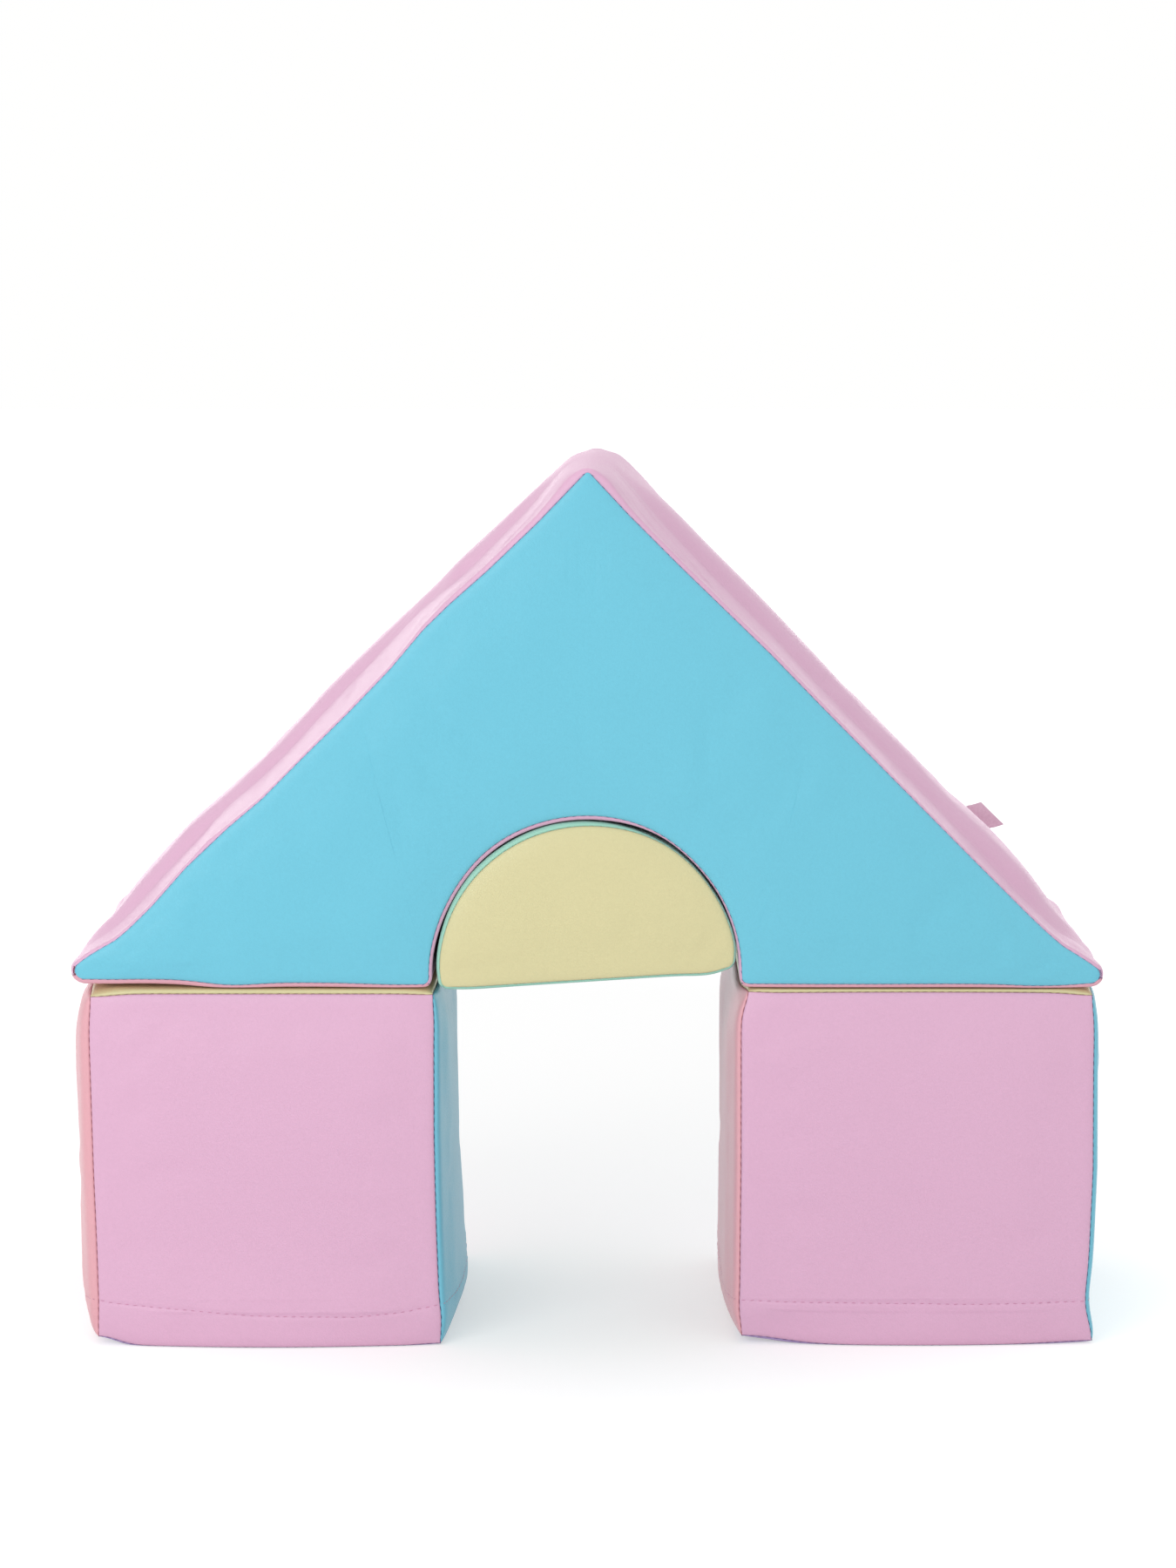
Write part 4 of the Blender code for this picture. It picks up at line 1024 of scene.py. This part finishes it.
@functools.cache
def vinyl(colour):
    # coated fabric with a fine pebble grain, a little softer in its low spots; painted shade darkens its colour in the
    # wrinkles' low spots and along the grain's grooves
    made, shader, node = newMaterial(colour + "Vinyl")
    base = np.array(colourValues[colour])
    place = node("TexCoord").outputs["Object"]
    warp = node("TexNoise", Vector=place, Scale=160.0, Detail=2.0)
    shifted = node("VectorMath", warp.outputs["Color"], (0.0011, 0.0011, 0.0011), place, operation="MULTIPLY_ADD")
    cells = node("TexVoronoi", feature="DISTANCE_TO_EDGE", Vector=shifted.outputs[0], Scale=640.0)
    pebbles = node("MapRange", cells.outputs["Distance"], 0.0, 0.16).outputs["Result"]
    wrinkle = node("TexNoise", Vector=place, Scale=560.0, Detail=3.0, Roughness=0.6).outputs["Fac"]
    height = node("Math", wrinkle, 1.8, pebbles, operation="MULTIPLY_ADD")
    bump = node("Bump", Strength=0.34, Distance=0.00014, Height=height.outputs[0])
    mottle = node("TexNoise", Vector=place, Scale=34.0, Detail=3.0)
    cloud = node("TexNoise", Vector=place, Scale=7.0, Detail=2.0)
    # painted shade: the colour is darkened where the wrinkle bump is low
    lowSpotShade = node("MapRange", wrinkle, 0.35, 0.65, 0.07, 0.0)
    # painted shade: the colour is darkened along the pebble grain's grooves, where the bump is low
    grooveShade = node("MapRange", cells.outputs["Distance"], 0.0, 0.09, 0.04, 0.0)
    tone = mixColour(node, mottle.outputs["Fac"], tuple(base * 0.975), tuple(np.clip(base * 1.02 + 0.004, 0, 1)))
    for factor, share in ((cloud.outputs["Fac"], 1), (lowSpotShade.outputs["Result"], 0.62), (grooveShade.outputs["Result"], 0.72)):
        tone = mixColour(node, factor, tone, tuple(base * share))
    gloss = node("MapRange", pebbles, 0.0, 1.0, 0.44, 0.34)
    wire(shader, {"Base Color": tone, "Normal": bump.outputs["Normal"], "Roughness": gloss.outputs["Result"],
                  "Specular IOR Level": 0.36, "Sheen Weight": 0.03, "Sheen Roughness": 0.35})
    return made


@functools.cache
def foamMaterial():
    made, shader, node = newMaterial("openFoam")
    poresAndShade = node("TexVoronoi", Vector=node("TexCoord").outputs["Object"], Scale=900.0).outputs["Distance"]
    bump = node("Bump", Strength=0.6, Distance=0.0004, Height=poresAndShade)
    # painted shade: the foam is coloured darker in its pores, where the bump is low
    wire(shader, {"Base Color": mixColour(node, poresAndShade, (0.62, 0.58, 0.46), (0.86, 0.83, 0.72)),
                  "Normal": bump.outputs["Normal"], "Roughness": 0.95})
    return made


@functools.cache
def threadMaterial(colour):
    # twisted polyester: fine diagonal plies on Object coordinates, their grooves darkened and their ridges lightened as
    # painted shade and highlight
    made, shader, node = newMaterial(colour + "Thread")
    base = np.array(threadColours[colour])
    place = node("TexCoord").outputs["Object"]
    plyAndShade = node("TexWave", wave_type="BANDS", bands_direction="DIAGONAL", Vector=place, Scale=900.0, Distortion=1.5,
               Detail=1.0).outputs["Fac"]
    fuzz = node("TexNoise", Vector=place, Scale=2600.0, Detail=2.0)
    bump = node("Bump", Strength=0.5, Distance=0.00008, Height=plyAndShade)
    # painted shade and highlight: the thread is darker in the grooves between its plies and lighter on their ridges
    tone = mixColour(node, plyAndShade, tuple(base * 0.8), tuple(np.clip(base * 1.25 + 0.01, 0, 1)))
    tone = mixColour(node, fuzz.outputs["Fac"], tone, tuple(base))
    wire(shader, {"Base Color": tone, "Normal": bump.outputs["Normal"], "Roughness": 0.62, "Sheen Weight": 0.2})
    return made


def wovenMaterial(name, dark, light, size, roughness, sheen):
    # a plain weave on the piece's own UV map, darker in its hollows and lighter on its crossings as painted shade and
    # highlight
    made, shader, node = newMaterial(name)
    across = node("UVMap", uv_map="weave").outputs["UV"]
    warp, weft = (node("TexWave", wave_type="BANDS", bands_direction=way, Vector=across, Scale=scale, Distortion=0.4)
                  for way, scale in (("X", size), ("Y", size * 1.25)))
    cross = node("Math", warp.outputs["Fac"], weft.outputs["Fac"], operation="MULTIPLY").outputs[0]
    soft = node("TexNoise", Vector=across, Scale=0.6, Detail=2.0)
    bump = node("Bump", Strength=0.45, Distance=0.00010, Height=cross)
    # painted shade and highlight: the two tones follow the weave's bump, the darker one in the hollows and the lighter
    # one where the threads cross over
    tone = mixColour(node, soft.outputs["Fac"], mixColour(node, cross, dark, light), light)
    wire(shader, {"Base Color": tone, "Normal": bump.outputs["Normal"], "Roughness": roughness, "Sheen Weight": sheen})
    return made


@functools.cache
def tapeMaterial():
    return wovenMaterial("zipTapeWeave", (0.62, 0.60, 0.62), (0.84, 0.83, 0.84), 0.9, 0.75, 0.15)


def ribbonMaterial():
    return wovenMaterial("satinRibbon", (0.66, 0.36, 0.50), (0.90, 0.66, 0.78), 0.7, 0.42, 0.25)


@functools.cache
def nylonMaterial():
    made, shader, node = newMaterial("nylonCoil")
    cloud = node("TexNoise", Vector=node("TexCoord").outputs["Object"], Scale=500.0, Detail=2.0)
    tone = mixColour(node, cloud.outputs["Fac"], (0.70, 0.70, 0.71), (0.86, 0.86, 0.86))
    wire(shader, {"Base Color": tone, "Roughness": 0.32})
    return made


def metalMaterial():
    # die-cast slider, lightly brushed
    made, shader, node = newMaterial("castMetal")
    place = node("TexCoord").outputs["Object"]
    stretch = node("Mapping", Vector=place, Scale=(60.0, 900.0, 900.0))
    brush = node("TexNoise", Vector=stretch.outputs["Vector"], Scale=1.0, Detail=3.0).outputs["Fac"]
    worn = node("TexNoise", Vector=place, Scale=700.0, Detail=4.0).outputs["Fac"]
    tone = mixColour(node, worn, mixColour(node, brush, (0.52, 0.52, 0.53), (0.74, 0.74, 0.75)), (0.60, 0.60, 0.61))
    rough = node("MapRange", brush, 0.0, 1.0, 0.24, 0.42)
    bump = node("Bump", Strength=0.25, Distance=0.00004, Height=worn)
    wire(shader, {"Base Color": tone, "Roughness": rough.outputs["Result"], "Normal": bump.outputs["Normal"],
                  "Metallic": 1.0})
    return made


# camera, light and floor

cameraValues = {"distance": 2.5779, "height": 0.6813, "tilt": 8.1964, "lens": 101.8165}


def makeCamera():
    data = bpy.data.cameras.new("camera")
    data.sensor_fit, data.sensor_width, data.sensor_height = "VERTICAL", 36.0, 36.0
    data.lens = cameraValues["lens"]
    camera = newObject("camera", data)
    camera.location = (0, -cameraValues["distance"], cameraValues["height"])
    camera.rotation_euler = (math.radians(90 - cameraValues["tilt"]), 0, 0)
    scene.camera = camera


lightValues = {
    "ambient": 0.63,
    "lamps": [
        ("keyLight", (-0.95, -1.55, 1.00), (1.1, 1.1), 11.8),
        ("fillLight", (1.7, -2.1, 1.1), (1.6, 1.6), 6.0),
        ("topLight", (0.0, 0.6, 2.2), (2.0, 1.6), 8.5),
        ("leftRim", (-0.62, 2.3, 0.36), (1.3, 0.7), 3.7),
        ("rightRim", (0.60, 2.3, 0.30), (0.9, 0.5), 1.6),
    ],
    "backdrop": (1.0, 1.0, 0.995, 1), "aim": (0, 0, 0.22),
    # the floor's glow is lower near the blocks than far off: a painted shadow pool round them
    "floorTone": 0.85, "shadowShare": 0.67, "shadedNearGlow": 0.418, "farGlow": 0.70,
    "glowShift": (0, -0.34, 0), "glowScale": (1.5, 0.75, 0), "glowReach": (0.38, 0.84),
}


def seenRays(node):
    # 1 for what the camera sees itself, mirrored or through a piece, and 0 for the light that falls on things
    path = node("LightPath").outputs
    either = node("Math", path["Is Camera Ray"], path["Is Transmission Ray"], operation="MAXIMUM")
    return node("Math", either.outputs[0], path["Is Glossy Ray"], operation="MAXIMUM").outputs[0]


def makeLights():
    scene.view_settings.view_transform = "Standard"
    world = bpy.data.worlds.new("studio")
    scene.world = world
    world.use_nodes = True
    node = nodeMaker(world.node_tree, "ShaderNode")
    level = node("MapRange", seenRays(node), 0.0, 1.0, lightValues["ambient"], 1.0)
    wire(world.node_tree.nodes["Background"], {"Color": lightValues["backdrop"], "Strength": level.outputs["Result"]})
    for name, place, size, power in lightValues["lamps"]:
        data = bpy.data.lights.new(name, "AREA")
        data.shape, data.size, data.size_y, data.energy = "RECTANGLE", *size, power
        lamp = newObject(name, data)
        lamp.location = place
        lamp.visible_camera = False
        lamp.rotation_euler = (Vector(lightValues["aim"]) - Vector(place)).to_track_quat("-Z", "Y").to_euler()


def makeFloor():
    mesh = bpy.data.meshes.new("floor")
    work = bmesh.new()
    bmesh.ops.create_grid(work, x_segments=2, y_segments=2, size=9.0)
    work.to_mesh(mesh)
    work.free()
    floor = newObject("floor", mesh)
    made, shader, node = newMaterial("floorPaper")
    wire(shader, {"Base Color": (*[lightValues["floorTone"]] * 3, 1), "Roughness": 0.9, "Specular IOR Level": 0.0})
    # the studio's white floor as the camera sees it, with the shadows on it; its glow is dimmer in a soft pool round
    # and behind the blocks, a painted shadow
    shift = node("Mapping", Vector=node("TexCoord").outputs["Object"], Location=lightValues["glowShift"],
                 Scale=lightValues["glowScale"])
    length = node("VectorMath", shift.outputs["Vector"], operation="LENGTH")
    paintedShadePool = node("MapRange", length.outputs["Value"], *lightValues["glowReach"], lightValues["shadedNearGlow"],
                  lightValues["farGlow"], interpolation_type="SMOOTHSTEP")
    paper = node("BsdfDiffuse", Color=(*[lightValues["shadowShare"]] * 3, 1))
    white = node("Emission", Strength=paintedShadePool.outputs["Result"])
    seen = node("AddShader", paper.outputs[0], white.outputs[0])
    mix = node("MixShader", seenRays(node), shader.outputs[0], seen.outputs[0])
    wire(made.node_tree.nodes["Material Output"], {"Surface": mix.outputs[0]})
    mesh.materials.append(made)


cubeColours = {"front": "pink", "back": "pink", "base": "lilac", "top": "yellow", "leftSide": "coral",
               "rightSide": "aqua"}
roofColours = {"front": "blue", "back": "blue", "slope": "pink", "arch": "pink", "leftBase": "salmon",
               "rightBase": "salmon"}
halfRoundColours = {"front": "yellow", "back": "yellow", "base": "mint", "curve": "mint"}

makeCamera()
makeLights()
makeFloor()
blocks = ((cubeShape(leftCube), cubeColours, sewCube), (cubeShape(rightCube), cubeColours, sewCube),
          (roofShape(roof), roofColours, sewRoof), (halfRoundShape(halfRound), halfRoundColours, sewHalfRound))
for shape, colours, sew in blocks:
    core, grids = makeCover(shape, colours)
    sew(shape, grids, core)
    makeZip(shape, grids, core)
    if shape["name"] == "roof":
        makeLabel(core)
metal = metalMaterial()
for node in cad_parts:
    if node.endswith("_zip_slider"):
        for slot in bpy.data.objects[node].material_slots:
            slot.material = metal
print("all four blocks dressed")
